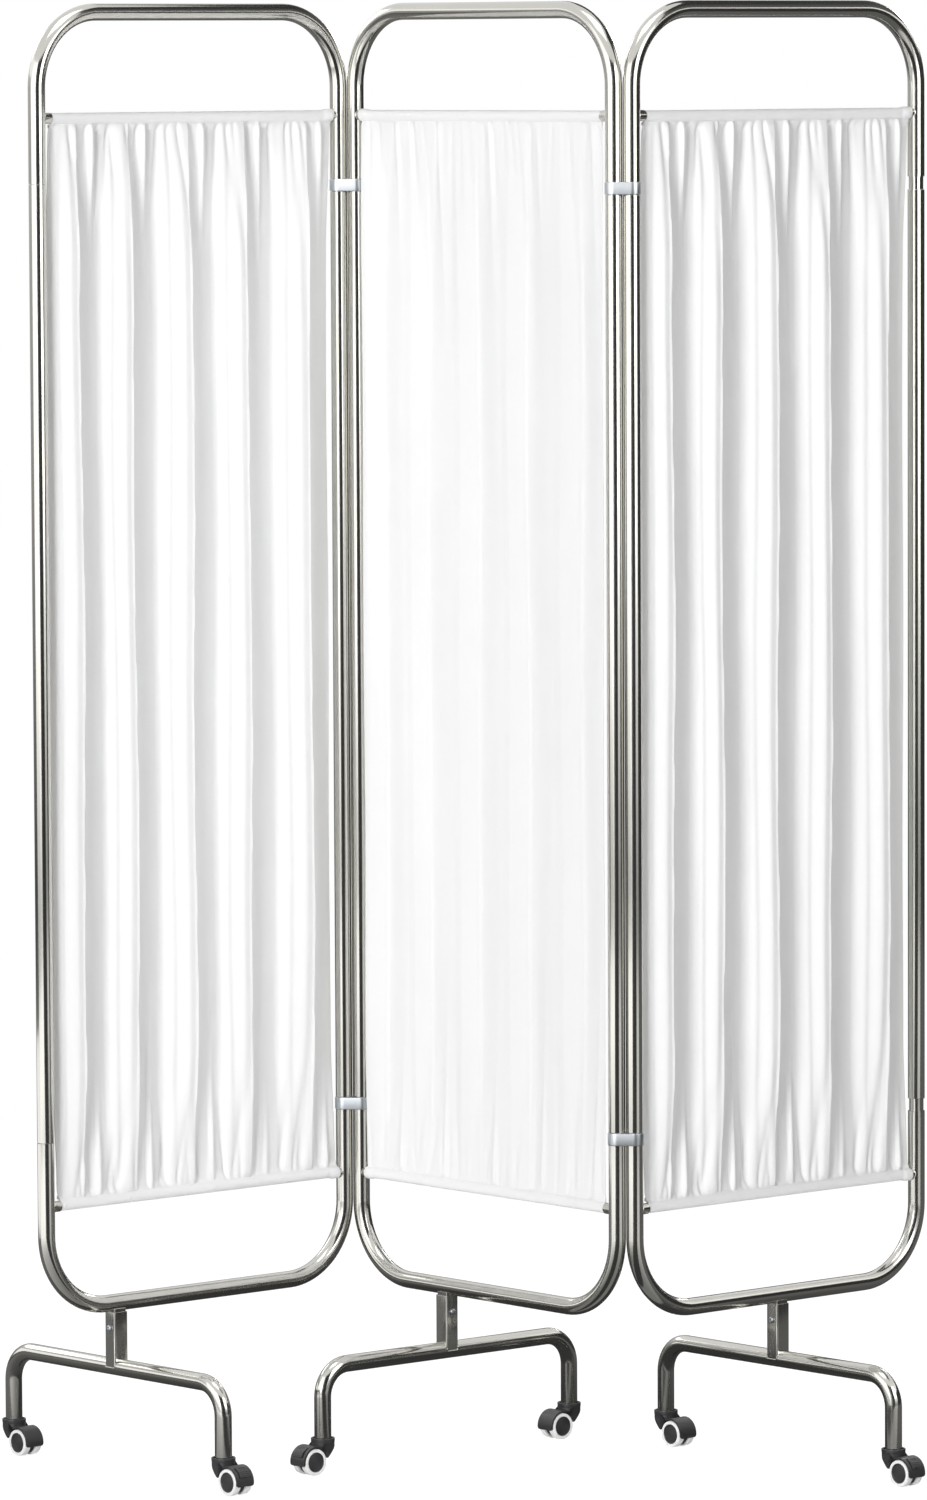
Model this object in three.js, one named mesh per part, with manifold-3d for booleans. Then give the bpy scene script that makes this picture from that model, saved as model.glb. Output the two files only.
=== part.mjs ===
// Ward privacy screen: three tube-framed panels with gathered curtains, joined side by side by
// double-ring clips and standing on arched legs with twin-wheel casters.
// Millimetres, +Z up. X runs across the zigzag, +Y runs away from the viewer.
// The origin is on the floor, under the middle of the screen's box.

import * as THREE from 'three';
import { mergeVertices } from 'three/addons/utils/BufferGeometryUtils.js';
import Module from 'manifold-3d';

const wasm = await Module();
wasm.setup();

// Overall size and pose
const OVERALL_HEIGHT = 1800;
const POST_SPACING = 482;
const FOLD_DEGREES = 88.8;
const FIT_GAP = 0.3;
const OVERRUN = 5;

// Frame tube
const TUBE_DIAMETER = 21;
const TUBE_WALL = 1.2;
const WELD_DEPTH_SHARE = 0.25;
const BEND_RADIUS = 92;
const BOTTOM_RAIL_HEIGHT = 211.3;
const BOW_LEG_LENGTH = 206.6;

// Swaged ends of the side tubes, and the neck that a clip ring sits on
const NECK_HEIGHT = 15.6;
const SWAGE_DEPTH = 30;
const SWAGE_SHOULDER = 1.2;

// Clips that join neighbouring side tubes
const POST_CLEARANCE = 0.4;
const CLIP_WALL = 2;
const CLIP_EDGE = 0.6;

// Curtain rods and the cups that hold them on the side tubes
const ROD_DIAMETER = 8;
const ROD_INSET = 127.5;
const CUP_DIAMETER = 13.4;
const CUP_REACH = 9.5;
const CUP_BORE_DEPTH = 6;

// Curtain
const SLEEVE_HEIGHT = 13;
const SLEEVE_END_GAP = 0.6;
const CLOTH_THICKNESS = 1.6;
const CLOTH_SIDE_GAP = 16;
const FOLD_DEPTH = 7.4;
const MIDDLE_FOLD_DEPTH = 5;
const GATHER_RUN = 170;
const GATHER_SHARE = 0.3;
const NARROW_FOLD_SHARE = 0.5;

// Across the cloth, where each fold is furthest back
const FOLD_SHARES = [0, 0.118, 0.301, 0.373, 0.517, 0.669, 0.728, 0.84, 0.937, 1];

// Leg bracket under the bottom rail
const BRACKET_WALL = 1.2;
const SOCKET_LENGTHWISE = 21;
const SOCKET_CROSSWISE = 19;
const SOCKET_TOP_GAP = 0.6;
const STUB_INSERT = 46;
const SCREW_DROP = 20;
const SCREW_SHANK_DIAMETER = 3.6;
const SCREW_HEAD_DIAMETER = 7.6;
const SCREW_HEAD_HEIGHT = 2.6;
const SCREW_CROWN_SHARE = 0.62;
const SCREW_REACH = 2;

// Where each leg stands along its panel, from the left side tube's axis
const LEFT_LEG_PLACE = 108.8;
const MIDDLE_LEG_PLACE = 163.6;
const RIGHT_LEG_PLACE = 240.8;

// Leg arch
const LEG_SPREAD = 403.5;
const ARCH_HEIGHT = 131.4;
const ARCH_BEND_RADIUS = 38;
const LEG_TUBE_END = 41.6;

// Caster: stem plug, housing with collar and hood, wheels, brake pedal
const PLUG_LENGTH = 25;
const PIN_DIAMETER = 8;
const PIN_LENGTH = 14;
const COLLAR_DIAMETER = 29.8;
const COLLAR_TOP = 43.8;
const COLLAR_RIM = 2.2;
const SKIRT_HEIGHT = 34.5;
const WHEEL_DIAMETER = 34;
const WHEEL_WIDTH = 9;
const WHEEL_TRAIL = 21.6;
const WHEEL_SHOULDER = 1.3;
const HUB_CAP_DIAMETER = 25;
const HUB_CAP_SINK = 0.7;
const HUB_CAP_BEVEL = 0.8;
const HOOD_CLEARANCE = 0.7;
const HOOD_WALL = 1.9;
const HOOD_CORNER = 3;
const HOOD_TIP_DEGREES = 168;
const HOOD_REAR_DEGREES = -12;
const WEB_THICKNESS = 6.4;
const WEB_DISC_DIAMETER = 29;
const WHEEL_SIDE_GAP = 1.2;
const AXLE_DIAMETER = 4;
const AXLE_COVER = 2.4;
const PEDAL_WIDTH = 15;
const PEDAL_PROUD = 0.9;
const PEDAL_FROM_DEGREES = 20;
const PEDAL_TO_DEGREES = 66;
const PEDAL_STEP_SHARE = 0.62;
const PEDAL_STEP = 0.8;

// Faceting, in counts
const TUBE_SIDES = 12;
const BORE_SIDES = 10;
const FRAME_BEND_STEPS = 5;
const ARCH_BEND_STEPS = 4;
const WHEEL_SIDES = 16;
const SMALL_SIDES = 10;
const CURVE_STEPS = 4;
const FOLD_STEPS = 4;
const CLOTH_ROWS = 6;

// How a box lists its triangles: six indices for each cell, and the face towards -Y is number 3
const CELL_INDICES = 6;
const FRONT_FACE = 3;

// Sizes that follow from the ones above
const TUBE_RADIUS = TUBE_DIAMETER / 2;
const BORE_RADIUS = TUBE_RADIUS - TUBE_WALL;
const SWAGE_RADIUS = BORE_RADIUS - FIT_GAP;
const WELD_RADIUS = TUBE_RADIUS - TUBE_WALL * WELD_DEPTH_SHARE;
const TOP_RAIL_HEIGHT = OVERALL_HEIGHT - TUBE_RADIUS;
const UPPER_BOW_END = TOP_RAIL_HEIGHT - BOW_LEG_LENGTH;
const LOWER_BOW_END = BOTTOM_RAIL_HEIGHT + BOW_LEG_LENGTH;
const CLIP_SPACING = TUBE_DIAMETER + POST_CLEARANCE;
const CLIP_BORE_RADIUS = SWAGE_RADIUS + FIT_GAP;
const CLIP_HEIGHT = NECK_HEIGHT - 2 * FIT_GAP;
const ROD_RADIUS = ROD_DIAMETER / 2;
const TOP_ROD_HEIGHT = TOP_RAIL_HEIGHT - ROD_INSET;
const BOTTOM_ROD_HEIGHT = BOTTOM_RAIL_HEIGHT + ROD_INSET;
const CUP_END = TUBE_RADIUS + CUP_REACH;
const CUP_SEAT = CUP_END - CUP_BORE_DEPTH;
const RAIL_UNDERSIDE = BOTTOM_RAIL_HEIGHT - TUBE_RADIUS;
const SOCKET_TOP = RAIL_UNDERSIDE - SOCKET_TOP_GAP;
const STUB_BOTTOM = SOCKET_TOP - STUB_INSERT;
const SCREW_HEIGHT = SOCKET_TOP - SCREW_DROP;
const SCREW_RADIUS = SCREW_SHANK_DIAMETER / 2;
const WHEEL_RADIUS = WHEEL_DIAMETER / 2;
const COLLAR_RADIUS = COLLAR_DIAMETER / 2;
const SEAT_HEIGHT = LEG_TUBE_END - FIT_GAP;
const AXLE_HEIGHT = WHEEL_RADIUS * Math.cos(Math.PI / WHEEL_SIDES);
const HOOD_INNER = WHEEL_RADIUS + HOOD_CLEARANCE;
const HOOD_OUTER = HOOD_INNER + HOOD_WALL;
const WHEEL_INSIDE = WEB_THICKNESS / 2 + WHEEL_SIDE_GAP;
const WHEEL_OUTSIDE = WHEEL_INSIDE + WHEEL_WIDTH;
const AXLE_RADIUS = AXLE_DIAMETER / 2;
const AXLE_END = WHEEL_OUTSIDE - AXLE_COVER;
const PIVOT_RADIUS = (HOOD_INNER + HOOD_OUTER) / 2;
const TURN = THREE.MathUtils.degToRad((180 - FOLD_DEGREES) / 2);

const UP = new THREE.Vector3(0, 0, 1);

function finish(color, roughness, metalness) {
  return new THREE.MeshStandardMaterial({ color, roughness, metalness });
}

const steel = () => finish(0xa7a59b, 0.28, 1);
const plated = () => finish(0xc6ccd2, 0.3, 1);
const cloth = () => finish(0xf1f2f4, 0.95, 0);
const plastic = () => finish(0x3b3b3e, 0.5, 0);
const tread = () => finish(0xe4e4e2, 0.55, 0);

// Solids: helpers that close, turn out, join and cut them

function outward(geometry) {
  const position = geometry.attributes.position;
  const index = geometry.index.array;
  const a = new THREE.Vector3();
  const b = new THREE.Vector3();
  const c = new THREE.Vector3();
  let volume = 0;
  for (let i = 0; i < index.length; i += 3) {
    a.fromBufferAttribute(position, index[i]);
    b.fromBufferAttribute(position, index[i + 1]);
    c.fromBufferAttribute(position, index[i + 2]);
    volume += a.dot(b.cross(c));
  }
  if (volume < 0) {
    for (let i = 0; i < index.length; i += 3) {
      const first = index[i];
      index[i] = index[i + 1];
      index[i + 1] = first;
    }
  }
  return geometry;
}

function closed(geometry) {
  const bare = geometry.clone();
  bare.deleteAttribute('normal');
  bare.deleteAttribute('uv');
  const welded = mergeVertices(bare);
  const index = welded.index.array;
  const kept = [];
  for (let i = 0; i < index.length; i += 3) {
    const [a, b, c] = [index[i], index[i + 1], index[i + 2]];
    if (a !== b && b !== c && c !== a) kept.push(a, b, c);
  }
  welded.setIndex(kept);
  return outward(welded);
}

function solid(geometry) {
  const shape = closed(geometry);
  return new wasm.Manifold(new wasm.Mesh({
    numProp: 3,
    vertProperties: new Float32Array(shape.attributes.position.array),
    triVerts: new Uint32Array(shape.index.array),
  }));
}

function surface(manifold) {
  const mesh = manifold.getMesh();
  const geometry = new THREE.BufferGeometry();
  geometry.setAttribute('position', new THREE.Float32BufferAttribute(mesh.vertProperties, 3));
  geometry.setIndex(Array.from(mesh.triVerts));
  return geometry;
}

const join = (first, ...others) => others.reduce((whole, piece) => whole.add(piece), first);
const cut = (first, ...others) => others.reduce((whole, piece) => whole.subtract(piece), first);
const meet = (first, ...others) => others.reduce((whole, piece) => whole.intersect(piece), first);

// Plain shapes, each placed by its own centre or ends

function ring(radius, sides) {
  const points = [];
  for (let i = 0; i < sides; i += 1) {
    const angle = (i / sides) * 2 * Math.PI;
    points.push(new THREE.Vector2(radius * Math.cos(angle), radius * Math.sin(angle)));
  }
  return points;
}

// A bore keeps its full radius across its flats
const around = (radius, sides) => radius / Math.cos(Math.PI / sides);

function cylinderX(radius, from, to, sides = SMALL_SIDES) {
  const geometry = new THREE.CylinderGeometry(radius, radius, to - from, sides);
  return geometry.rotateZ(Math.PI / 2).translate((from + to) / 2, 0, 0);
}

function cylinderY(radius, from, to, sides = SMALL_SIDES) {
  const geometry = new THREE.CylinderGeometry(radius, radius, to - from, sides);
  return geometry.translate(0, (from + to) / 2, 0);
}

function cylinderZ(radius, from, to, sides = SMALL_SIDES) {
  const geometry = new THREE.CylinderGeometry(radius, radius, to - from, sides);
  return geometry.rotateX(Math.PI / 2).translate(0, 0, (from + to) / 2);
}

function blockZ(lengthX, lengthY, from, to) {
  return new THREE.BoxGeometry(lengthX, lengthY, to - from).translate(0, 0, (from + to) / 2);
}

// A revolved piece that stands along Z; each point is a radius and a height
function turned(profile, sides) {
  const points = profile.map(([radius, height]) => new THREE.Vector2(radius, height));
  return closed(new THREE.LatheGeometry(points, sides).rotateX(Math.PI / 2));
}

// A side view in X and Z, carried across Y by its width
function carriedAcross(shape, width) {
  const options = { depth: width, bevelEnabled: false, curveSegments: CURVE_STEPS };
  return new THREE.ExtrudeGeometry(shape, options).rotateX(Math.PI / 2).translate(0, width / 2, 0);
}

// Centre line of a bent tube: straight runs between corners, with a round bend at each corner
class BentLine extends THREE.Curve {
  constructor(corners, radius, bendSteps) {
    super();
    this.points = [corners[0]];
    this.tangents = [corners[1].clone().sub(corners[0]).normalize()];
    for (let i = 1; i < corners.length - 1; i += 1) {
      const before = corners[i].clone().sub(corners[i - 1]).normalize();
      const after = corners[i + 1].clone().sub(corners[i]).normalize();
      const middle = corners[i].clone().addScaledVector(before, -radius).addScaledVector(after, radius);
      for (let step = 0; step <= bendSteps; step += 1) {
        const angle = (step / bendSteps) * Math.PI / 2;
        const point = middle.clone();
        point.addScaledVector(after, -radius * Math.cos(angle));
        point.addScaledVector(before, radius * Math.sin(angle));
        const tangent = before.clone().multiplyScalar(Math.cos(angle));
        tangent.addScaledVector(after, Math.sin(angle));
        this.points.push(point);
        this.tangents.push(tangent);
      }
    }
    const last = corners.length - 1;
    this.points.push(corners[last]);
    this.tangents.push(corners[last].clone().sub(corners[last - 1]).normalize());
  }

  get steps() {
    return this.points.length - 1;
  }

  getPoint(t, target = new THREE.Vector3()) {
    return target.copy(this.points[Math.round(t * this.steps)]);
  }

  getPointAt(u, target) {
    return this.getPoint(u, target);
  }

  getTangentAt(u, target = new THREE.Vector3()) {
    return target.copy(this.tangents[Math.round(u * this.steps)]);
  }
}

function bentTube(corners, bendRadius, bendSteps) {
  const section = new THREE.Shape(ring(TUBE_RADIUS, TUBE_SIDES));
  section.holes.push(new THREE.Path(ring(around(BORE_RADIUS, BORE_SIDES), BORE_SIDES)));
  const extrudePath = new BentLine(corners, bendRadius, bendSteps);
  return new THREE.ExtrudeGeometry(section, { steps: extrudePath.steps, bevelEnabled: false, extrudePath });
}

// Panel frame, in the panel's own frame: X from the left side tube's axis to the right one's

// Cup that is fixed to a bow's leg and holds a rod's end
function rodCup() {
  const blank = solid(cylinderX(CUP_DIAMETER / 2, 0, CUP_END));
  const bore = solid(cylinderX(around(ROD_RADIUS + FIT_GAP, SMALL_SIDES), CUP_SEAT, CUP_END + OVERRUN));
  const tubeSpace = solid(cylinderZ(WELD_RADIUS, -CUP_DIAMETER, CUP_DIAMETER, TUBE_SIDES));
  return cut(blank, bore, tubeSpace);
}

// Bow: a rail with a leg at each end, and a rod cup on the inner side of each leg
function bow(railHeight, endHeight, rodHeight) {
  const tube = bentTube([
    new THREE.Vector3(0, 0, endHeight),
    new THREE.Vector3(0, 0, railHeight),
    new THREE.Vector3(POST_SPACING, 0, railHeight),
    new THREE.Vector3(POST_SPACING, 0, endHeight),
  ], BEND_RADIUS, FRAME_BEND_STEPS);
  const leftCup = rodCup().translate([0, 0, rodHeight]);
  const rightCup = rodCup().mirror([1, 0, 0]).translate([POST_SPACING, 0, rodHeight]);
  return join(solid(tube), leftCup, rightCup);
}

// Side tube: full diameter between its shoulders, swaged down to slide into both bows.
// With a neck, the shoulders stand back from the bows and leave room for a clip ring.
function sideTube(necked) {
  const shoulderGap = necked ? NECK_HEIGHT : FIT_GAP;
  const low = LOWER_BOW_END + shoulderGap;
  const high = UPPER_BOW_END - shoulderGap;
  const lowEnd = LOWER_BOW_END - SWAGE_DEPTH;
  const highEnd = UPPER_BOW_END + SWAGE_DEPTH;
  const swageBore = SWAGE_RADIUS - TUBE_WALL;
  return turned([
    [SWAGE_RADIUS, lowEnd],
    [SWAGE_RADIUS, low],
    [TUBE_RADIUS, low],
    [TUBE_RADIUS, high],
    [SWAGE_RADIUS, high],
    [SWAGE_RADIUS, highEnd],
    [swageBore, highEnd],
    [swageBore, high - SWAGE_SHOULDER],
    [BORE_RADIUS, high - 2 * SWAGE_SHOULDER],
    [BORE_RADIUS, low + 2 * SWAGE_SHOULDER],
    [swageBore, low + SWAGE_SHOULDER],
    [swageBore, lowEnd],
    [SWAGE_RADIUS, lowEnd],
  ], TUBE_SIDES);
}

// Square stub that is welded under the bottom rail and slides into the leg socket
function stubSize() {
  const play = BRACKET_WALL + FIT_GAP;
  return [SOCKET_LENGTHWISE - 2 * play, SOCKET_CROSSWISE - 2 * play];
}

function lowerBow(legPlace, screwSide) {
  const [lengthwise, crosswise] = stubSize();
  const outside = solid(blockZ(lengthwise, crosswise, STUB_BOTTOM, BOTTOM_RAIL_HEIGHT));
  const inside = solid(blockZ(
    lengthwise - 2 * BRACKET_WALL,
    crosswise - 2 * BRACKET_WALL,
    STUB_BOTTOM - OVERRUN,
    BOTTOM_RAIL_HEIGHT,
  ));
  const railSpace = solid(cylinderX(WELD_RADIUS, -lengthwise, lengthwise, TUBE_SIDES)
    .translate(0, 0, BOTTOM_RAIL_HEIGHT));
  const stub = cut(outside, inside, railSpace, screwHole(screwSide)).translate([legPlace, 0, 0]);
  return surface(join(bow(BOTTOM_RAIL_HEIGHT, LOWER_BOW_END, BOTTOM_ROD_HEIGHT), stub));
}

function screwHole(screwSide) {
  const radius = around(SCREW_RADIUS + FIT_GAP, SMALL_SIDES);
  const hole = cylinderX(radius, 0, SOCKET_LENGTHWISE).translate(0, 0, SCREW_HEIGHT);
  return solid(screwSide < 0 ? hole.rotateZ(Math.PI) : hole);
}

// Leg: an arch with a square socket welded over the middle of its beam
function leg(screwSide) {
  const half = LEG_SPREAD / 2;
  const arch = bentTube([
    new THREE.Vector3(0, -half, LEG_TUBE_END),
    new THREE.Vector3(0, -half, ARCH_HEIGHT),
    new THREE.Vector3(0, half, ARCH_HEIGHT),
    new THREE.Vector3(0, half, LEG_TUBE_END),
  ], ARCH_BEND_RADIUS, ARCH_BEND_STEPS);
  const outside = solid(blockZ(SOCKET_LENGTHWISE, SOCKET_CROSSWISE, ARCH_HEIGHT, SOCKET_TOP));
  const inside = solid(blockZ(
    SOCKET_LENGTHWISE - 2 * BRACKET_WALL,
    SOCKET_CROSSWISE - 2 * BRACKET_WALL,
    ARCH_HEIGHT - OVERRUN,
    SOCKET_TOP + OVERRUN,
  ));
  const beamSpace = solid(cylinderY(WELD_RADIUS, -SOCKET_CROSSWISE, SOCKET_CROSSWISE, TUBE_SIDES)
    .translate(0, 0, ARCH_HEIGHT));
  const socket = cut(outside, inside, beamSpace, screwHole(screwSide));
  return surface(join(solid(arch), socket));
}

function clampScrew(screwSide) {
  const seat = SOCKET_LENGTHWISE / 2 + FIT_GAP;
  const headRadius = SCREW_HEAD_DIAMETER / 2;
  const [lengthwise] = stubSize();
  const tip = lengthwise / 2 - BRACKET_WALL - SCREW_REACH;
  const screw = turned([
    [0, tip],
    [SCREW_RADIUS, tip],
    [SCREW_RADIUS, seat],
    [headRadius, seat],
    [headRadius, seat + SCREW_HEAD_HEIGHT * (1 - SCREW_CROWN_SHARE)],
    [headRadius * SCREW_CROWN_SHARE, seat + SCREW_HEAD_HEIGHT],
    [0, seat + SCREW_HEAD_HEIGHT],
  ], SMALL_SIDES).rotateY(Math.PI / 2);
  if (screwSide < 0) screw.rotateZ(Math.PI);
  return screw.translate(0, 0, SCREW_HEIGHT);
}

// Curtain rods and the curtain

function curtainRod(height) {
  const rod = cylinderX(ROD_RADIUS, CUP_SEAT + FIT_GAP, POST_SPACING - CUP_SEAT - FIT_GAP);
  return rod.translate(0, 0, height);
}

// A point of the cloth's middle surface, from its even place across the columns, 0 to 1, and its
// height. Each fold swings forward from the back plane and returns; a narrow one comes less far.
// The folds are drawn in at the two sleeves and open out over the gather run.
function clothPoint(even, height, depth) {
  const folds = FOLD_SHARES.length - 1;
  const fold = Math.min(Math.floor(even * folds), folds - 1);
  const within = even * folds - fold;
  const width = FOLD_SHARES[fold + 1] - FOLD_SHARES[fold];
  const fullness = Math.max(NARROW_FOLD_SHARE, Math.min(width * folds, 1));
  const run = Math.min(TOP_ROD_HEIGHT - height, height - BOTTOM_ROD_HEIGHT) / GATHER_RUN;
  const opening = GATHER_SHARE + (1 - GATHER_SHARE) * THREE.MathUtils.smoothstep(run, 0, 1);
  const swing = (1 - Math.cos(2 * Math.PI * within)) * fullness;
  return [FOLD_SHARES[fold] + width * within, depth * opening * (1 - swing)];
}

// Splits each cell of one face of a box along its other diagonal.
function splitOtherWay(box, face) {
  const { start, count } = box.groups[face];
  for (let i = start; i < start + count; i += CELL_INDICES) {
    const [a, b, d, , c] = box.index.array.slice(i, i + CELL_INDICES);
    box.index.array.set([a, b, c, a, c, d], i);
  }
}

// The cloth's front and back are split along the same diagonals, so they run side by side.
function curtain(depth) {
  const width = POST_SPACING - 2 * CLOTH_SIDE_GAP;
  const drop = TOP_ROD_HEIGHT - BOTTOM_ROD_HEIGHT;
  const columns = (FOLD_SHARES.length - 1) * FOLD_STEPS;
  const sheet = new THREE.BoxGeometry(width, CLOTH_THICKNESS, drop, columns, 1, CLOTH_ROWS);
  splitOtherWay(sheet, FRONT_FACE);
  sheet.translate(width / 2, 0, (TOP_ROD_HEIGHT + BOTTOM_ROD_HEIGHT) / 2);
  const position = sheet.attributes.position;
  for (let i = 0; i < position.count; i += 1) {
    const [share, offset] = clothPoint(position.getX(i) / width, position.getZ(i), depth);
    position.setX(i, CLOTH_SIDE_GAP + width * share);
    position.setY(i, position.getY(i) + offset);
  }
  const sleeveEnd = CUP_END + SLEEVE_END_GAP;
  const sleeves = [];
  const bores = [];
  for (const height of [BOTTOM_ROD_HEIGHT, TOP_ROD_HEIGHT]) {
    const sleeve = cylinderX(SLEEVE_HEIGHT / 2, sleeveEnd, POST_SPACING - sleeveEnd);
    const bore = cylinderX(around(ROD_RADIUS + FIT_GAP, SMALL_SIDES), 0, POST_SPACING);
    const cupRoom = cylinderX(around(CUP_DIAMETER / 2 + SLEEVE_END_GAP, SMALL_SIDES), 0, sleeveEnd);
    sleeves.push(solid(sleeve.translate(0, 0, height)));
    bores.push(solid(bore.translate(0, 0, height)));
    bores.push(solid(cupRoom.clone().translate(0, 0, height)));
    bores.push(solid(cupRoom.rotateZ(Math.PI).translate(POST_SPACING, 0, height)));
  }
  return surface(cut(join(solid(sheet), ...sleeves), ...bores));
}

// Clip that joins two neighbouring side tubes at their necks: a flat oval with two rings

function hingeClip(height) {
  const half = CLIP_SPACING / 2;
  const radius = CLIP_BORE_RADIUS + CLIP_WALL - CLIP_EDGE;
  const outline = new THREE.Shape();
  outline.absarc(half, 0, radius, -Math.PI / 2, Math.PI / 2, false);
  outline.absarc(-half, 0, radius, Math.PI / 2, Math.PI * 1.5, false);
  outline.closePath();
  const blank = new THREE.ExtrudeGeometry(outline, {
    depth: CLIP_HEIGHT - 2 * CLIP_EDGE,
    bevelThickness: CLIP_EDGE,
    bevelSize: CLIP_EDGE,
    bevelSegments: 1,
    curveSegments: CURVE_STEPS,
  }).translate(0, 0, CLIP_EDGE);
  const boreRadius = around(CLIP_BORE_RADIUS, TUBE_SIDES);
  const bores = [-half, half].map((x) => solid(
    cylinderZ(boreRadius, -OVERRUN, CLIP_HEIGHT + OVERRUN, TUBE_SIDES).translate(x, 0, 0)));
  return surface(cut(solid(blank), ...bores)).translate(0, 0, height);
}

// Caster, in its own frame: the stem's axis is Z, the wheels trail towards +X, the axle runs along Y

const onWheel = (radius, degrees) => {
  const angle = THREE.MathUtils.degToRad(degrees);
  return [WHEEL_TRAIL + radius * Math.cos(angle), AXLE_HEIGHT + radius * Math.sin(angle)];
};

function sector(inner, outer, fromDegrees, toDegrees) {
  const from = THREE.MathUtils.degToRad(fromDegrees);
  const to = THREE.MathUtils.degToRad(toDegrees);
  const shape = new THREE.Shape();
  shape.absarc(WHEEL_TRAIL, AXLE_HEIGHT, outer, from, to, false);
  shape.absarc(WHEEL_TRAIL, AXLE_HEIGHT, inner, to, from, true);
  shape.closePath();
  return shape;
}

function casterStem() {
  const plugBottom = LEG_TUBE_END;
  return turned([
    [0, plugBottom - PIN_LENGTH],
    [PIN_DIAMETER / 2, plugBottom - PIN_LENGTH],
    [PIN_DIAMETER / 2, plugBottom],
    [SWAGE_RADIUS, plugBottom],
    [SWAGE_RADIUS, plugBottom + PLUG_LENGTH],
    [0, plugBottom + PLUG_LENGTH],
  ], SMALL_SIDES);
}

// Side view of collar, swept front and hood, without the space for the wheels
function housingSide() {
  const tip = THREE.MathUtils.degToRad(HOOD_TIP_DEGREES);
  const rear = THREE.MathUtils.degToRad(HOOD_REAR_DEGREES);
  const collarMeet = Math.PI - Math.acos((WHEEL_TRAIL - COLLAR_RADIUS) / HOOD_OUTER);
  const [tipX, tipZ] = onWheel(HOOD_OUTER, HOOD_TIP_DEGREES);
  const shape = new THREE.Shape();
  shape.moveTo(-COLLAR_RADIUS, COLLAR_TOP);
  shape.lineTo(-COLLAR_RADIUS, SKIRT_HEIGHT);
  shape.quadraticCurveTo(-COLLAR_RADIUS, (SKIRT_HEIGHT + tipZ) / 2, tipX, tipZ);
  shape.absarc(WHEEL_TRAIL, AXLE_HEIGHT, HOOD_INNER, tip, rear, true);
  shape.absarc(WHEEL_TRAIL, AXLE_HEIGHT, HOOD_OUTER, rear, collarMeet, false);
  shape.lineTo(COLLAR_RADIUS, COLLAR_TOP);
  shape.closePath();
  return shape;
}

// Plan view: round under the collar, straight-sided along the hood, with rounded rear corners
function housingPlan() {
  const end = WHEEL_TRAIL + HOOD_OUTER;
  const side = WHEEL_OUTSIDE;
  const meetX = Math.sqrt(COLLAR_RADIUS ** 2 - side ** 2);
  const meetAngle = Math.atan2(side, meetX);
  const shape = new THREE.Shape();
  shape.moveTo(end, HOOD_CORNER - side);
  shape.lineTo(end, side - HOOD_CORNER);
  shape.quadraticCurveTo(end, side, end - HOOD_CORNER, side);
  shape.lineTo(meetX, side);
  shape.absarc(0, 0, COLLAR_RADIUS, meetAngle, 2 * Math.PI - meetAngle, false);
  shape.lineTo(end - HOOD_CORNER, -side);
  shape.quadraticCurveTo(end, -side, end, HOOD_CORNER - side);
  const options = { depth: COLLAR_TOP + OVERRUN, bevelEnabled: false, curveSegments: CURVE_STEPS };
  return new THREE.ExtrudeGeometry(shape, options);
}

// Web between the wheels: up to the hood above, a smaller disc below
function webSide() {
  const tip = THREE.MathUtils.degToRad(HOOD_TIP_DEGREES);
  const rear = THREE.MathUtils.degToRad(HOOD_REAR_DEGREES);
  const shape = new THREE.Shape();
  shape.absarc(WHEEL_TRAIL, AXLE_HEIGHT, HOOD_INNER + HOOD_WALL / 2, rear, tip, false);
  shape.absarc(WHEEL_TRAIL, AXLE_HEIGHT, WEB_DISC_DIAMETER / 2, tip, rear + 2 * Math.PI, false);
  shape.closePath();
  return shape;
}

function casterHousing(braked) {
  const body = meet(solid(carriedAcross(housingSide(), COLLAR_DIAMETER)), solid(housingPlan()));
  const web = solid(carriedAcross(webSide(), WEB_THICKNESS));
  const axle = solid(cylinderY(AXLE_RADIUS, -AXLE_END, AXLE_END).translate(WHEEL_TRAIL, 0, AXLE_HEIGHT));
  const recess = solid(cylinderZ(COLLAR_RADIUS - COLLAR_RIM, SEAT_HEIGHT, COLLAR_TOP + OVERRUN, TUBE_SIDES));
  const bore = solid(cylinderZ(around(PIN_DIAMETER / 2 + FIT_GAP, SMALL_SIDES),
    LEG_TUBE_END - PIN_LENGTH - FIT_GAP, COLLAR_TOP));
  let housing = cut(join(body, web, axle), recess, bore);
  if (braked) {
    const floor = HOOD_INNER - FIT_GAP;
    const window = sector(floor, HOOD_OUTER + OVERRUN, PEDAL_FROM_DEGREES, PEDAL_TO_DEGREES);
    housing = cut(housing, solid(carriedAcross(window, PEDAL_WIDTH + 2 * FIT_GAP)));
  }
  return surface(housing);
}

// Curved pedal in the hood's window; its lower end is a raised tread for the foot
function brakePedal() {
  const slack = THREE.MathUtils.radToDeg(FIT_GAP / HOOD_INNER);
  const from = PEDAL_FROM_DEGREES + slack;
  const to = PEDAL_TO_DEGREES - slack;
  const stepAt = from + (to - from) * PEDAL_STEP_SHARE;
  const outer = HOOD_OUTER + PEDAL_PROUD;
  const plate = carriedAcross(sector(HOOD_INNER, outer, from, to), PEDAL_WIDTH);
  const step = carriedAcross(sector(HOOD_OUTER, outer + PEDAL_STEP, from, stepAt), PEDAL_WIDTH);
  return surface(join(solid(plate), solid(step)));
}

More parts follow.
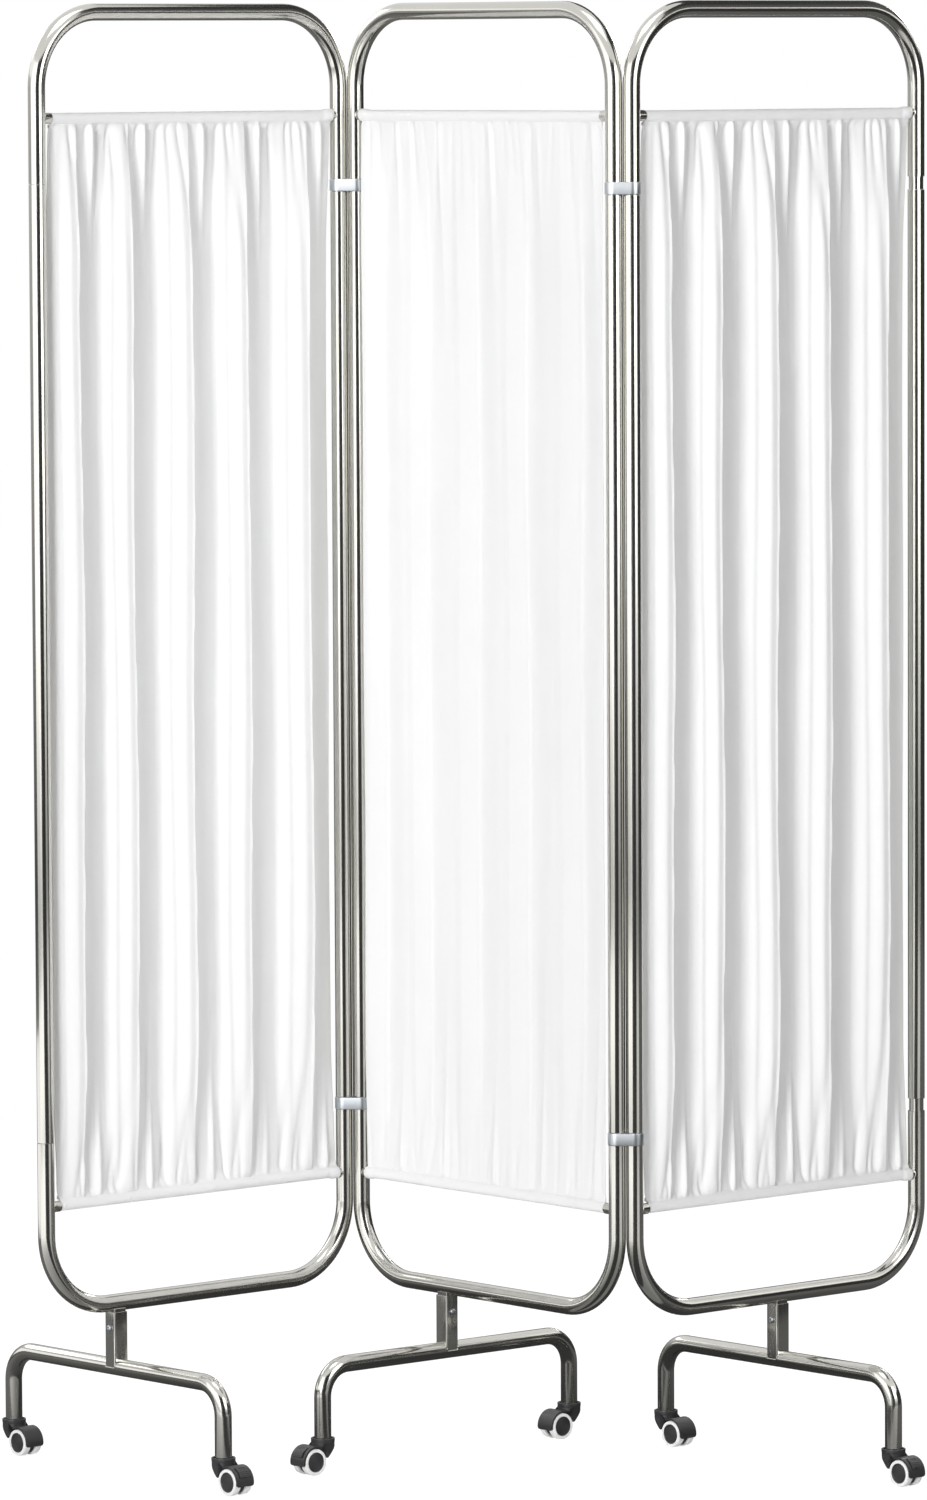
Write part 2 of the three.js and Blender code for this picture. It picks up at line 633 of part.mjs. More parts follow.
// Wheel about the axle, lying between two distances from the web's middle plane
function wheel() {
  const hubRadius = HUB_CAP_DIAMETER / 2;
  const outside = WHEEL_OUTSIDE;
  const inside = WHEEL_INSIDE;
  const boreEnd = AXLE_END + FIT_GAP;
  return turned([
    [0, outside - HUB_CAP_SINK],
    [hubRadius - HUB_CAP_BEVEL, outside - HUB_CAP_SINK],
    [hubRadius, outside],
    [WHEEL_RADIUS - WHEEL_SHOULDER, outside],
    [WHEEL_RADIUS, outside - WHEEL_SHOULDER],
    [WHEEL_RADIUS, inside],
    [around(AXLE_RADIUS + FIT_GAP, WHEEL_SIDES), inside],
    [around(AXLE_RADIUS + FIT_GAP, WHEEL_SIDES), boreEnd],
    [0, boreEnd],
  ], WHEEL_SIDES).rotateZ(Math.PI / WHEEL_SIDES).rotateX(-Math.PI / 2);
}

// Assembly

function add(group, name, geometry, material) {
  const flat = geometry.index ? geometry.toNonIndexed() : geometry;
  flat.computeVertexNormals();
  const mesh = new THREE.Mesh(flat, material);
  mesh.name = name;
  group.add(mesh);
  return mesh;
}

function makeCaster(name, braked) {
  const caster = new THREE.Group();
  add(caster, `${name}_caster_stem`, casterStem(), plated());
  add(caster, `${name}_caster_housing`, casterHousing(braked), plastic());
  for (const [side, turn] of [['left', Math.PI], ['right', 0]]) {
    const mesh = add(caster, `${name}_caster_${side}_wheel`, wheel(), tread());
    mesh.position.set(WHEEL_TRAIL, 0, AXLE_HEIGHT);
    mesh.rotation.z = turn;
  }
  if (braked) add(caster, `${name}_caster_brake_pedal`, brakePedal(), plastic());
  return caster;
}

function makePanel({ name, legPlace, screwSide, foldDepth, leftNecked, rightNecked }) {
  const panel = new THREE.Group();
  const upperBow = surface(bow(TOP_RAIL_HEIGHT, UPPER_BOW_END, TOP_ROD_HEIGHT));
  add(panel, `${name}_upper_bow`, upperBow, steel());
  add(panel, `${name}_lower_bow`, lowerBow(legPlace, screwSide), steel());
  add(panel, `${name}_left_side_tube`, sideTube(leftNecked), steel());
  add(panel, `${name}_right_side_tube`, sideTube(rightNecked), steel()).position.x = POST_SPACING;
  add(panel, `${name}_upper_curtain_rod`, curtainRod(TOP_ROD_HEIGHT), steel());
  add(panel, `${name}_lower_curtain_rod`, curtainRod(BOTTOM_ROD_HEIGHT), steel());
  add(panel, `${name}_curtain`, curtain(foldDepth), cloth());

  const stand = new THREE.Group();
  add(stand, `${name}_leg`, leg(screwSide), steel());
  add(stand, `${name}_clamp_screw`, clampScrew(screwSide), plated());
  for (const [end, side] of [['front', -1], ['back', 1]]) {
    const caster = makeCaster(`${name}_${end}`, end === 'front');
    caster.position.y = side * LEG_SPREAD / 2;
    caster.rotation.z = -Math.PI / 2;
    stand.add(caster);
  }
  stand.position.x = legPlace;
  panel.add(stand);
  return panel;
}

const left = makePanel({
  name: 'left',
  legPlace: LEFT_LEG_PLACE,
  screwSide: -1,
  foldDepth: FOLD_DEPTH,
  leftNecked: false,
  rightNecked: true,
});
const middle = makePanel({
  name: 'middle',
  legPlace: MIDDLE_LEG_PLACE,
  screwSide: 1,
  foldDepth: MIDDLE_FOLD_DEPTH,
  leftNecked: true,
  rightNecked: true,
});
const right = makePanel({
  name: 'right',
  legPlace: RIGHT_LEG_PLACE,
  screwSide: -1,
  foldDepth: FOLD_DEPTH,
  leftNecked: true,
  rightNecked: true,
});

// The middle panel is centred and the others stand off it by one clip, all turned alike
const along = (turn, length) => new THREE.Vector3(length, 0, 0).applyAxisAngle(UP, turn);
const clipStep = new THREE.Vector3(CLIP_SPACING, 0, 0);
const halfClip = new THREE.Vector3(CLIP_SPACING / 2, 0, 0);
const middleLeftPost = along(-TURN, -POST_SPACING / 2);
const middleRightPost = along(-TURN, POST_SPACING / 2);

middle.rotation.z = -TURN;
middle.position.copy(middleLeftPost);
left.rotation.z = TURN;
left.position.copy(middleLeftPost).sub(clipStep).sub(along(TURN, POST_SPACING));
right.rotation.z = TURN;
right.position.copy(middleRightPost).add(clipStep);

const clips = new THREE.Group();
const creases = {
  left: middleLeftPost.clone().sub(halfClip),
  right: middleRightPost.clone().add(halfClip),
};
const neckStarts = { lower: LOWER_BOW_END, upper: UPPER_BOW_END - NECK_HEIGHT };
for (const [side, crease] of Object.entries(creases)) {
  for (const [level, start] of Object.entries(neckStarts)) {
    const clip = add(clips, `${side}_${level}_hinge_clip`, hingeClip(start + FIT_GAP), plated());
    clip.position.copy(crease);
  }
}

const screen = new THREE.Group();
screen.add(left, middle, right, clips);

// Stand it on the floor with its box centred on the origin
screen.updateMatrixWorld(true);
const box = new THREE.Box3().setFromObject(screen, true);
const middleOfBox = box.getCenter(new THREE.Vector3());
screen.position.set(-middleOfBox.x, -middleOfBox.y, -box.min.z);
screen.name = 'ward_privacy_screen';

export default screen;
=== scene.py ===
"""Ward privacy screen on wheels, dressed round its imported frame.

Three tube-framed panels with gathered curtains stand in a zigzag on arched legs with twin-wheel
casters. Every new piece is a surface worked out on a grid of two parameters, in metres.
"""
import math

import bmesh
import bpy
import numpy as np
from bpy.props import FloatProperty, FloatVectorProperty, IntProperty, PointerProperty
from bpy.types import Operator, Panel, PropertyGroup
from mathutils import Matrix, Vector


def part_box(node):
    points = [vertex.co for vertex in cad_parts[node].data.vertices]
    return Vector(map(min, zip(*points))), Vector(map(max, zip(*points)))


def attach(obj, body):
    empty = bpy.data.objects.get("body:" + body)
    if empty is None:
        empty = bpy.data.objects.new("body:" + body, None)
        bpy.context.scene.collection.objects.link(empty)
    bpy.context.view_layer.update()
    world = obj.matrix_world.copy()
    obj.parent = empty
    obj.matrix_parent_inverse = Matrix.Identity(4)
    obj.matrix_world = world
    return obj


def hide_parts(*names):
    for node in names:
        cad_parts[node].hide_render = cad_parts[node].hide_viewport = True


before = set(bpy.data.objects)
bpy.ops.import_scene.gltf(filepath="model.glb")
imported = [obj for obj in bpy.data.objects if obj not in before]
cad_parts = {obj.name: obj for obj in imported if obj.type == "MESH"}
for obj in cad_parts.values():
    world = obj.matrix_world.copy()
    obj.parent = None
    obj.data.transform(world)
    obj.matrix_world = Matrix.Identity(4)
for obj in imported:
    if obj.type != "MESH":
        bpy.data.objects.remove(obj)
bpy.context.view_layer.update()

bl_info = {
    "name": "Ward privacy screen",
    "version": (1, 0, 0),
    "blender": (4, 5, 0),
    "location": "3D View > Sidebar > Screen",
    "description": "Makes a three-fold ward screen round its packed frame",
    "category": "Object",
}

PANELS = ("left", "middle", "right")
ENDS = ("front", "back")
WHEEL_SIDES = {"left": -1.0, "right": 1.0}

# Long creases that run down from a seam: place across, depth, run and lean
LONG_CREASES = (
    (0.055, 0.55, 0.10, 0.22),
    (0.21, 0.8, 0.16, 0.13),
    (0.385, 0.9, 0.5, -0.03),
    (0.44, 0.5, 0.10, 0.12),
    (0.62, 0.7, 0.16, 0.16),
    (0.70, 0.7, 0.6, 0.03),
    (0.86, 0.9, 0.34, 0.07),
)

# Across the cloth, where each deep fold's sharp edge is, as shares of the width
FOLD_EDGES = (-0.10, 0.094, 0.279, 0.488, 0.690, 0.914, 1.09)

# One fold from its sharp edge to the next: shares of its width and of its depth
FOLD_PLACES = (0.0, 0.06, 0.47, 0.66, 0.84, 0.91, 0.945, 1.0)
FOLD_HEIGHTS = (0.30, 0.24, 0.0, 0.48, 0.95, 0.95, 1.0, 0.30)

# The same fold where the cloth hangs softly
SOFT_PLACES = (0.0, 0.45, 0.6, 1.0)
SOFT_HEIGHTS = (0.0, 1.0, 1.0, 0.0)

# Small gathers at a seam: their number, how far they stray from even places, the runs that each picks
# from, and the ranges of the run's factor, the depth, the lean and the half width
GATHERS = 21
GATHER_STRAY = 0.013
GATHER_RUNS = (0.035, 0.05, 0.08, 0.12)
GATHER_RUN_FACTOR = (0.85, 1.2)
GATHER_DEPTH = (0.45, 1.0)
GATHER_LEAN = (-0.08, 0.2)
GATHER_WIDTH = (0.0024, 0.0037)

# Half width of a long crease, and how far below the seam gathers and creases are twice as wide
CREASE_WIDTH = 0.0036
WIDENING_RUN = 0.09

# Added to a curtain's seed for the gathers at its lower seam
LOWER_SEED = 50

# Ridge that splits a deep fold: its way back from the fold's edge, its stray, how far it leans back
# over a run, its height in gather depths, its half width and the range of its run
RIDGE_BACK, RIDGE_STRAY = 0.022, 0.003
RIDGE_LEAN, RIDGE_LEAN_RUN = 0.008, 0.2
RIDGE_HEIGHT, RIDGE_WIDTH = 1.5, 0.0043
RIDGE_RUN = (0.06, 0.14)

# The drop of a curtain: share of its rows that are even, share of the folds' depth left at a seam, how
# far the folds sway to and fro and over which run this starts, and the height of its slow ripples
EVEN_ROWS = 0.28
SEAM_OPENING = 0.36
SWAY, SWAY_RUN = 0.004, 0.3
RIPPLE = 0.0007

# Close to a seam the cloth is drawn in over a run to a share of its relief, and lies forward a little
SEAM_RUN, SEAM_SHARE, SEAM_FORWARD = 0.012, 0.35, 0.0004

# Sleeves: relief of their puckers and the angles round the rod where it starts and is full, how far
# along the flare over a cup starts and ends to narrow, and how far a hem turn lies behind the cloth
PUCKER, PUCKER_ANGLES = 0.0003, (1.2, 2.9)
FLARE_REACH = (0.009, 0.016)
HEM_BEHIND = 0.0007

# How softly the middle curtain hangs, from nought to one, and the seed of each curtain's gathers
MIDDLE_SOFTNESS = 0.7
SEEDS = {"left": 3, "middle": 4, "right": 3}

# Clearance between the two posts of a crease, and between a caster's pieces
POST_CLEARANCE = 0.0004
PLAY = 0.0003

# Corner radius of the stub in a leg's socket, the beads of cups and stubs as shares of a full weld
# bead, and how much a bead swells and how often
STUB_CORNER = 0.001
CUP_BEAD, STUB_BEAD = 0.7, 0.5
BEAD_SWELL, BEAD_PITCH = 0.12, 0.0016

# Clamp screw: how far it bites past the stub's wall. As shares of its crown, where the straight side
# ends and how high the hexagon's rim and floor lie. As a share of the hexagon, where the dome starts
SCREW_BITE = 0.002
CROWN_SIDE, CROWN_RIM, HEXAGON_FLOOR = 0.35, 0.97, 0.3
HEXAGON_RIM = 1.15

# Caster housing in side view, as angles about the axle in degrees: front tip, top of the hood, upper
# and lower edge of the brake's window, and rear edge of the hood
FRONT_TIP, HOOD_TOP, WINDOW_TOP, WINDOW_FOOT, HOOD_REAR = 168, 100, 66, 20, -12

# Hub cap: how deep it sits in the wheel, its first and last ring, and the rings' pitch, depth and dome
CAP_DEPTH = 0.0016
FIRST_RING, LAST_RING = 0.0010, 0.0106
RING_PITCH, RING_DEPTH, CAP_DOME = 0.0012, 0.00007, 0.00025

# Brake pedal: share of its length that is tread, its ribs' height and pitch, the room kept for them,
# the smooth edge beside them, and the dimple's depth and half width
TREAD_SHARE = 0.62
RIB_HEIGHT, RIB_PITCH, RIB_ROOM, RIB_MARGIN = 0.00028, math.radians(7.2), 0.0003, 0.0012
DIMPLE_DEPTH, DIMPLE_HALF = 0.0005, 0.0042

# Knots of the thread tacks: radius, height and how deep they sit in the sleeve
TACK_RADIUS, TACK_HEIGHT, TACK_SINK = 0.0016, 0.0007, 0.0004

# Glowing cards that only reflections see, and so painted reflections: the bright ones paint reflected
# highlights, the dark ones paint dark reflections, and the cards on the floor paint the floor's shade
# near the screen, darker there. Headings from and to, radii and heights from the screen outwards, two
# glow levels, and the two heights between which one turns into the other
REFLECTION_CARDS = {
    "front_floor": ((-15, 36), (0, 3.4), (0.002, 0.02), (0.05, 0.05), (0, 1)),
    "front_wall": ((-15, 36), (3.4, 3.4), (0.02, 3.4), (0.04, 0.04), (0, 1)),
    "left_floor": ((-74, -15), (0, 3.4), (0.002, 0.02), (0.25, 1.7), (0.004, 0.0145)),
    "left_wall": ((-74, -15), (3.4, 3.4), (0.02, 3.4), (0.62, 1.8), (0.2, 0.9)),
    "right_floor": ((36, 66), (0, 3.4), (0.002, 0.02), (0.25, 0.9), (0.004, 0.0145)),
    "right_wall": ((36, 66), (3.4, 3.4), (0.02, 3.4), (0.3, 1.6), (0.2, 1.2)),
    "side_floor": ((66, 180), (0, 4.4), (0.002, 0.02), (0.05, 0.15), (0.0035, 0.006)),
    "side_wall": ((66, 180), (4.4, 4.4), (0.02, 2.2), (0.04, 0.04), (0, 1)),
    "side_stripe": ((72, 115), (4.4, 4.4), (2.3, 3.3), (1.4, 1.4), (0, 1)),
    "back_floor": ((-180, -74), (0, 4.4), (0.002, 0.02), (0.05, 0.2), (0.0035, 0.006)),
    "back_wall": ((-180, -74), (4.4, 4.4), (0.02, 2.6), (0.08, 0.8), (0.2, 2.4)),
    "left_low": ((-112, -70), (1.2, 1.2), (0.19, 0.42), (1.4, 1.4), (0, 1)),
    "left_top": ((-112, -70), (1.2, 1.2), (1.84, 2.1), (1.4, 1.4), (0, 1)),
    "high": ((70, 180), (1.5, 1.5), (2.05, 3.8), (0.15, 0.05), (2.05, 3.0)),
}

# Lamps: heading, distance, height, width and length, and the height over the middle that each is
# turned to
LAMPS = {
    "key": (-20, 10.0, 2.5, (3.25, 5.0), 0.8),
    "fill": (52, 3.2, 1.8, (2.0, 2.2), 1.0),
    "top": (0, 0.6, 3.6, (1.6, 1.2), 1.0),
    "back_key": (160, 10.0, 2.5, (3.25, 5.0), 0.8),
    "back_fill": (-128, 6.0, 2.4, (3.6, 4.0), 1.0),
}

# The floor near the screen keeps its look up to the first distance and is plain white past the second
FLOOR_FADE = (0.9, 3.5)

# Thread tacks that show on two of the sleeves, as shares of the width
TACKS = {
    "left": ("lower", (0.012, 0.242, 0.552, 0.72, 0.80, 0.972)),
    "middle": ("upper", (0.012, 0.197, 0.44, 0.761)),
}


# Sizes and colours that a user would change


def length(name, description, default):
    """A size in metres."""
    return FloatProperty(name=name, description=description, default=default, unit="LENGTH", precision=5)


def colour(name, description, default):
    """A colour with its alpha."""
    return FloatVectorProperty(
        name=name, description=description, default=(*default, 1.0), size=4, subtype="COLOR", min=0, max=1
    )


def number(name, description, default):
    """A plain factor."""
    return FloatProperty(name=name, description=description, default=default)


def power(name, description, default):
    """A lamp's power in watts."""
    return FloatProperty(name=name, description=description, default=default, unit="POWER")


class TubeSizes(PropertyGroup):
    """Frame tube, bows, side tubes, rods and cups."""

    diameter: length("Tube diameter", "Outside diameter of the frame and leg tube", 0.021)
    wall: length("Tube wall", "Wall of the tube", 0.0012)
    bend_radius: length("Bend radius", "Centre-line radius of the panel corners", 0.092)
    top_rail: length("Top rail height", "Height of the upper bow's rail axis", 1.7895)
    bottom_rail: length("Bottom rail height", "Height of the lower bow's rail axis", 0.2113)
    bow_leg: length("Bow leg", "From a rail's axis to the end of its bow", 0.2066)
    neck: length("Neck height", "Room for a clip between a bow and a side tube", 0.0156)
    swage_depth: length("Swage depth", "How far a side tube slides into a bow", 0.03)
    fit_gap: length("Fit gap", "Clearance between pieces that slide together", 0.0003)
    shoulder: length("Shoulder radius", "Rounding of a side tube's shoulder", 0.0007)
    rod_diameter: length("Rod diameter", "Diameter of a curtain rod", 0.008)
    rod_inset: length("Rod inset", "From a rail's axis to the rod's axis", 0.1275)
    cup_diameter: length("Cup diameter", "Diameter of the cup that holds a rod", 0.0134)
    cup_reach: length("Cup reach", "How far a cup stands out from the tube", 0.0095)
    cup_bore: length("Cup bore depth", "How deep a rod sits in its cup", 0.006)
    clip_wall: length("Clip wall", "Wall of the double-ring clip round a neck", 0.002)
    clip_edge: length("Clip edge", "Rounding of the clip's edges", 0.0007)
    bead: length("Weld bead", "Radius of the weld beads", 0.0009)


class CurtainSizes(PropertyGroup):
    """Curtain, its folds, gathers and sleeves."""

    near_gap: length("Near gap", "From a side tube's axis to the cloth where its cups show", 0.0198)
    far_gap: length("Far gap", "The same where the sleeves reach over the cups", 0.0125)
    sleeve_end: length("Sleeve end", "From a side tube's axis to the end of a sleeve", 0.0206)
    thickness: length("Cloth thickness", "Thickness of the woven cloth", 0.0005)
    sleeve_radius: length("Sleeve radius", "Radius of a sleeve round its rod", 0.0059)
    seam_drop: length("Seam drop", "From the rod's axis to the sleeve's seam", 0.0074)
    hem_turn: length("Hem turn", "Cloth left past the seam, behind the curtain", 0.005)
    fold_depth: length("Fold depth", "Depth of the folds of the outer curtains", 0.023)
    middle_fold_depth: length("Middle fold depth", "Depth of the folds of the middle curtain", 0.0075)
    gather_depth: length("Gather depth", "Depth of the small gathers at a seam", 0.0047)
    sleeve_flare: length("Sleeve flare", "How much wider a sleeve is where it reaches over a cup", 0.0014)
    gather_run: length("Gather run", "How far the folds take to open below a seam", 0.17)
    weave_pitch: length("Weave pitch", "Spacing of the threads", 0.0006)
    columns: IntProperty(name="Columns", description="Grid columns across a curtain", default=320)
    rows: IntProperty(name="Rows", description="Grid rows down a curtain", default=96)
    flat_width: length("Flat width", "Width an outer curtain was cut to", 0.546)
    middle_flat_width: length("Middle flat width", "Width the middle curtain was cut to", 0.460)
    flat_length: length("Flat length", "Length each curtain was cut to", 1.385)


class LegSizes(PropertyGroup):
    """Leg arch, its socket, the stub in it and the clamp screw."""

    arch_height: length("Arch height", "Height of the arch's beam axis", 0.1314)
    bend_radius: length("Arch bend radius", "Centre-line radius of the arch corners", 0.038)
    tube_end: length("Leg tube end", "Height of the leg tube's lower end", 0.0416)
    spread: length("Leg spread", "Between the two legs of an arch", 0.4035)
    socket_long: length("Socket length", "Outside of the socket along the panel", 0.021)
    socket_wide: length("Socket width", "Outside of the socket across the panel", 0.019)
    socket_wall: length("Socket wall", "Wall of the socket and the stub", 0.0012)
    socket_corner: length("Socket corner", "Corner radius of the socket", 0.002)
    socket_top: length("Socket top", "Height of the socket's upper rim", 0.2002)
    stub_bottom: length("Stub bottom", "Height of the stub's lower end", 0.1542)
    screw_height: length("Screw height", "Height of the clamp screw", 0.1802)
    screw_head: length("Screw head", "Diameter of the screw's head", 0.0076)
    screw_crown: length("Screw crown", "Height of the screw's head", 0.0026)
    screw_shank: length("Screw shank", "Diameter of the screw's shank", 0.0036)
    screw_socket: length("Screw socket", "Across the corners of the screw's hexagon", 0.0038)


class CasterSizes(PropertyGroup):
    """Caster housing, wheels, hub caps and brake pedal."""

    collar_radius: length("Collar radius", "Outside radius of the collar", 0.0149)
    collar_top: length("Collar top", "Height of the collar's rim", 0.0438)
    collar_foot: length("Collar foot", "Height of the collar's lower edge", 0.0386)
    collar_rim: length("Collar rim", "Width of the collar's rim", 0.0022)
    seat: length("Seat", "Height of the floor inside the collar", 0.0413)
    body_radius: length("Body radius", "Radius of the body under the collar", 0.0144)
    skirt: length("Skirt", "Height where the body's front starts to sweep back", 0.0345)
    trail: length("Wheel trail", "From the stem's axis to the axle", 0.0216)
    axle_height: length("Axle height", "Height of the axle, which is the wheel's radius", 0.016673)
    hood_inner: length("Hood inner radius", "Inner radius of the hood", 0.0177)
    hood_outer: length("Hood outer radius", "Outer radius of the hood", 0.0196)
    hood_corner: length("Hood corner", "Radius of the hood's rear corners", 0.003)
    half_width: length("Half width", "From the middle plane to the wheel's outside", 0.0134)
    wheel_inside: length("Wheel inside", "From the middle plane to the wheel's inside", 0.0044)
    shoulder: length("Wheel shoulder", "Rounding of the tread's outer edge", 0.0016)
    cap_radius: length("Hub cap radius", "Radius of the hub cap", 0.0124)
    cap_sink: length("Hub cap sink", "How deep the cap's face lies", 0.0008)
    web: length("Web", "Thickness of the web between the wheels", 0.0064)
    web_radius: length("Web radius", "Radius of the web below the axle", 0.0145)
    axle_radius: length("Axle radius", "Radius of the axle stubs", 0.002)
    axle_end: length("Axle end", "From the middle plane to an axle stub's end", 0.011)
    pedal_width: length("Pedal width", "Width of the brake pedal", 0.015)
    pedal_proud: length("Pedal height", "How far the pedal stands above the hood", 0.0009)
    pedal_step: length("Pedal step", "Height of the pedal's raised tread", 0.0008)
    edge: length("Edge", "Rounding of the moulded edges", 0.0003)


class Finishes(PropertyGroup):
    """Colours of the finishes."""

    steel: colour("Steel", "Polished stainless tube", (0.60, 0.59, 0.55))
    plated: colour("Plating", "Bright plating of clips and screws", (0.50, 0.525, 0.55))
    cloth: colour("Cloth", "White curtain cloth", (0.850, 0.851, 0.853))
    thread: colour("Thread", "Tacks on the sleeves", (0.9, 0.9, 0.92))
    plastic: colour("Caster plastic", "Charcoal moulded plastic", (0.030, 0.030, 0.032))
    tread: colour("Tread", "Pale tread rings", (0.87, 0.87, 0.86))
    floor: colour("Floor", "Pale studio floor", (0.86, 0.86, 0.86))


class Studio(PropertyGroup):
    """Lamps, level of the room light and the camera."""

    key_power: power("Key power", "Power of the left lamp", 750)
    fill_power: power("Fill power", "Power of the right lamp", 31)
    top_power: power("Top power", "Power of the lamp overhead", 13)
    back_key_power: power("Back key power", "Power of the lamp behind the middle panel", 650)
    back_fill_power: power("Back fill power", "Power of the lamp behind the outer panels", 135)
    ambient: number("Room light", "Strength of the room's light", 0.075)
    floor_lift: number("Floor lift", "Share of plain white in the near floor, seen directly", 0.72)
    floor_glow: number("Floor glow", "Strength of that white near the screen", 1.27)
    lens: number("Lens", "Focal length in millimetres on the long side's 36 mm", 201.81)
    camera_place: FloatVectorProperty(
        name="Camera place", description="Where the camera stands",
        default=(0.67186, -10.24763, 1.73868), subtype="TRANSLATION", unit="LENGTH",
    )
    camera_turn: FloatVectorProperty(
        name="Camera turn", description="Heading, downward tilt and roll",
        default=(math.radians(-3.695), math.radians(4.743), math.radians(0.2761)),
        subtype="EULER", unit="ROTATION",
    )


class ScreenSettings(PropertyGroup):
    """All settings of the screen."""

    tube: PointerProperty(type=TubeSizes, name="Tube", description="Frame tube sizes")
    curtain: PointerProperty(type=CurtainSizes, name="Curtain", description="Curtain sizes")
    leg: PointerProperty(type=LegSizes, name="Leg", description="Leg sizes")
    caster: PointerProperty(type=CasterSizes, name="Caster", description="Caster sizes")
    finish: PointerProperty(type=Finishes, name="Finishes", description="Colours")
    studio: PointerProperty(type=Studio, name="Studio", description="Light and camera")


def settings():
    """The scene's settings."""
    return bpy.context.scene.ward_screen


# Places, as four by four matrices


def basis(x_axis, y_axis, z_axis, origin=(0, 0, 0)):
    """Matrix whose columns are three axes and an origin."""
    made = np.eye(4)
    made[:3, 0], made[:3, 1], made[:3, 2], made[:3, 3] = x_axis, y_axis, z_axis, origin
    return made


def shift(x=0.0, y=0.0, z=0.0):
    """Plain move."""
    return basis((1, 0, 0), (0, 1, 0), (0, 0, 1), (x, y, z))


def place(points, matrix):
    """Points turned and moved by a matrix."""
    return points @ matrix[:3, :3].T + matrix[:3, 3]


# A turned piece's axis laid along X, against X, along Y and against Y
TO_X = basis((0, 1, 0), (0, 0, 1), (1, 0, 0))
AGAINST_X = basis((0, 1, 0), (0, 0, -1), (-1, 0, 0))
TO_Y = basis((0, 0, 1), (1, 0, 0), (0, 1, 0))
AGAINST_Y = basis((0, 0, 1), (-1, 0, 0), (0, -1, 0))


def centre(node):
    """Middle of a CAD node's box, in plan."""
    low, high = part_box(node)
    return np.array([(low[0] + high[0]) / 2, (low[1] + high[1]) / 2])


def panel_place(name):
    """A panel's own frame: origin on its left side tube's axis, X to its right one. And its width."""
    start, end = centre(f"{name}_left_side_tube"), centre(f"{name}_right_side_tube")
    width = np.linalg.norm(end - start)
    x, y = (end - start) / width
    return basis((x, y, 0), (-y, x, 0), (0, 0, 1), (*start, 0)), width


def leg_place(name):
    """A leg's own frame, which stands under its panel and is turned alike."""
    matrix, _ = panel_place(name)
    moved = matrix.copy()
    moved[:2, 3] = centre(f"{name}_leg")
    return moved


def caster_place(name, end):
    """A caster's own frame: Z up its stem, X the way its wheels trail."""
    matrix, _ = panel_place(name)
    return basis(-matrix[:3, 1], matrix[:3, 0], (0, 0, 1), (*centre(f"{name}_{end}_caster_stem"), 0))


# Curves and grids


def smooth(value, low=0.0, high=1.0):
    """Smooth step from 0 at low to 1 at high: share squared times three less twice the share."""
    share = np.clip((value - low) / (high - low), 0, 1)
    return share * share * (3 - 2 * share)


def cells(index):
    """The four corners of each cell of a numbered grid."""
    return np.stack([index[:-1, :-1], index[1:, :-1], index[1:, 1:], index[:-1, 1:]], -1)


def grid(*parts):
    """Coordinates side by side, each one spread over the whole grid."""
    return np.stack(np.broadcast_arrays(*parts), -1)


def looped(line):
    """Line that ends where it starts."""
    return np.concatenate([line, line[:1]])


def run(points):
    """Length along a line of points."""
    steps = np.linalg.norm(np.diff(points, axis=0), axis=1)
    return np.concatenate([[0.0], np.cumsum(steps)])


def rounded(corners, radii, steps=4):
    """Line with rounded corners: each one becomes the quadratic curve between the places one radius
    before and after it."""
    corners = np.asarray(corners, float)
    share = np.linspace(0, 1, steps + 1)[:, None]
    parts = [corners[:1]]
    for before, corner, after, radius in zip(corners[:-2], corners[1:-1], corners[2:], radii):
        if radius == 0:
            parts.append(corner[None])
            continue
        start = corner + (before - corner) / np.linalg.norm(before - corner) * radius
        end = corner + (after - corner) / np.linalg.norm(after - corner) * radius
        parts.append((1 - share) ** 2 * start + 2 * share * (1 - share) * corner + share**2 * end)
    parts.append(corners[-1:])
    return np.concatenate(parts)


def bent_line(corners, radius, steps=16):
    """Centre line of a bent tube and its tangents: straight runs, and a quarter circle at each
    corner whose centre is one radius back along both runs."""
    corners = np.asarray(corners, float)
    angle = np.linspace(0, math.pi / 2, steps + 1)[:, None]
    runs = np.diff(corners, axis=0)
    runs /= np.linalg.norm(runs, axis=1)[:, None]
    points, tangents = [corners[:1]], [runs[:1]]
    for corner, before, after in zip(corners[1:-1], runs[:-1], runs[1:]):
        middle = corner - before * radius + after * radius
        points.append(middle - after * radius * np.cos(angle) + before * radius * np.sin(angle))
        tangents.append(before * np.cos(angle) + after * np.sin(angle))
    points.append(corners[-1:])
    tangents.append(runs[-1:])
    return np.concatenate(points), np.concatenate(tangents)


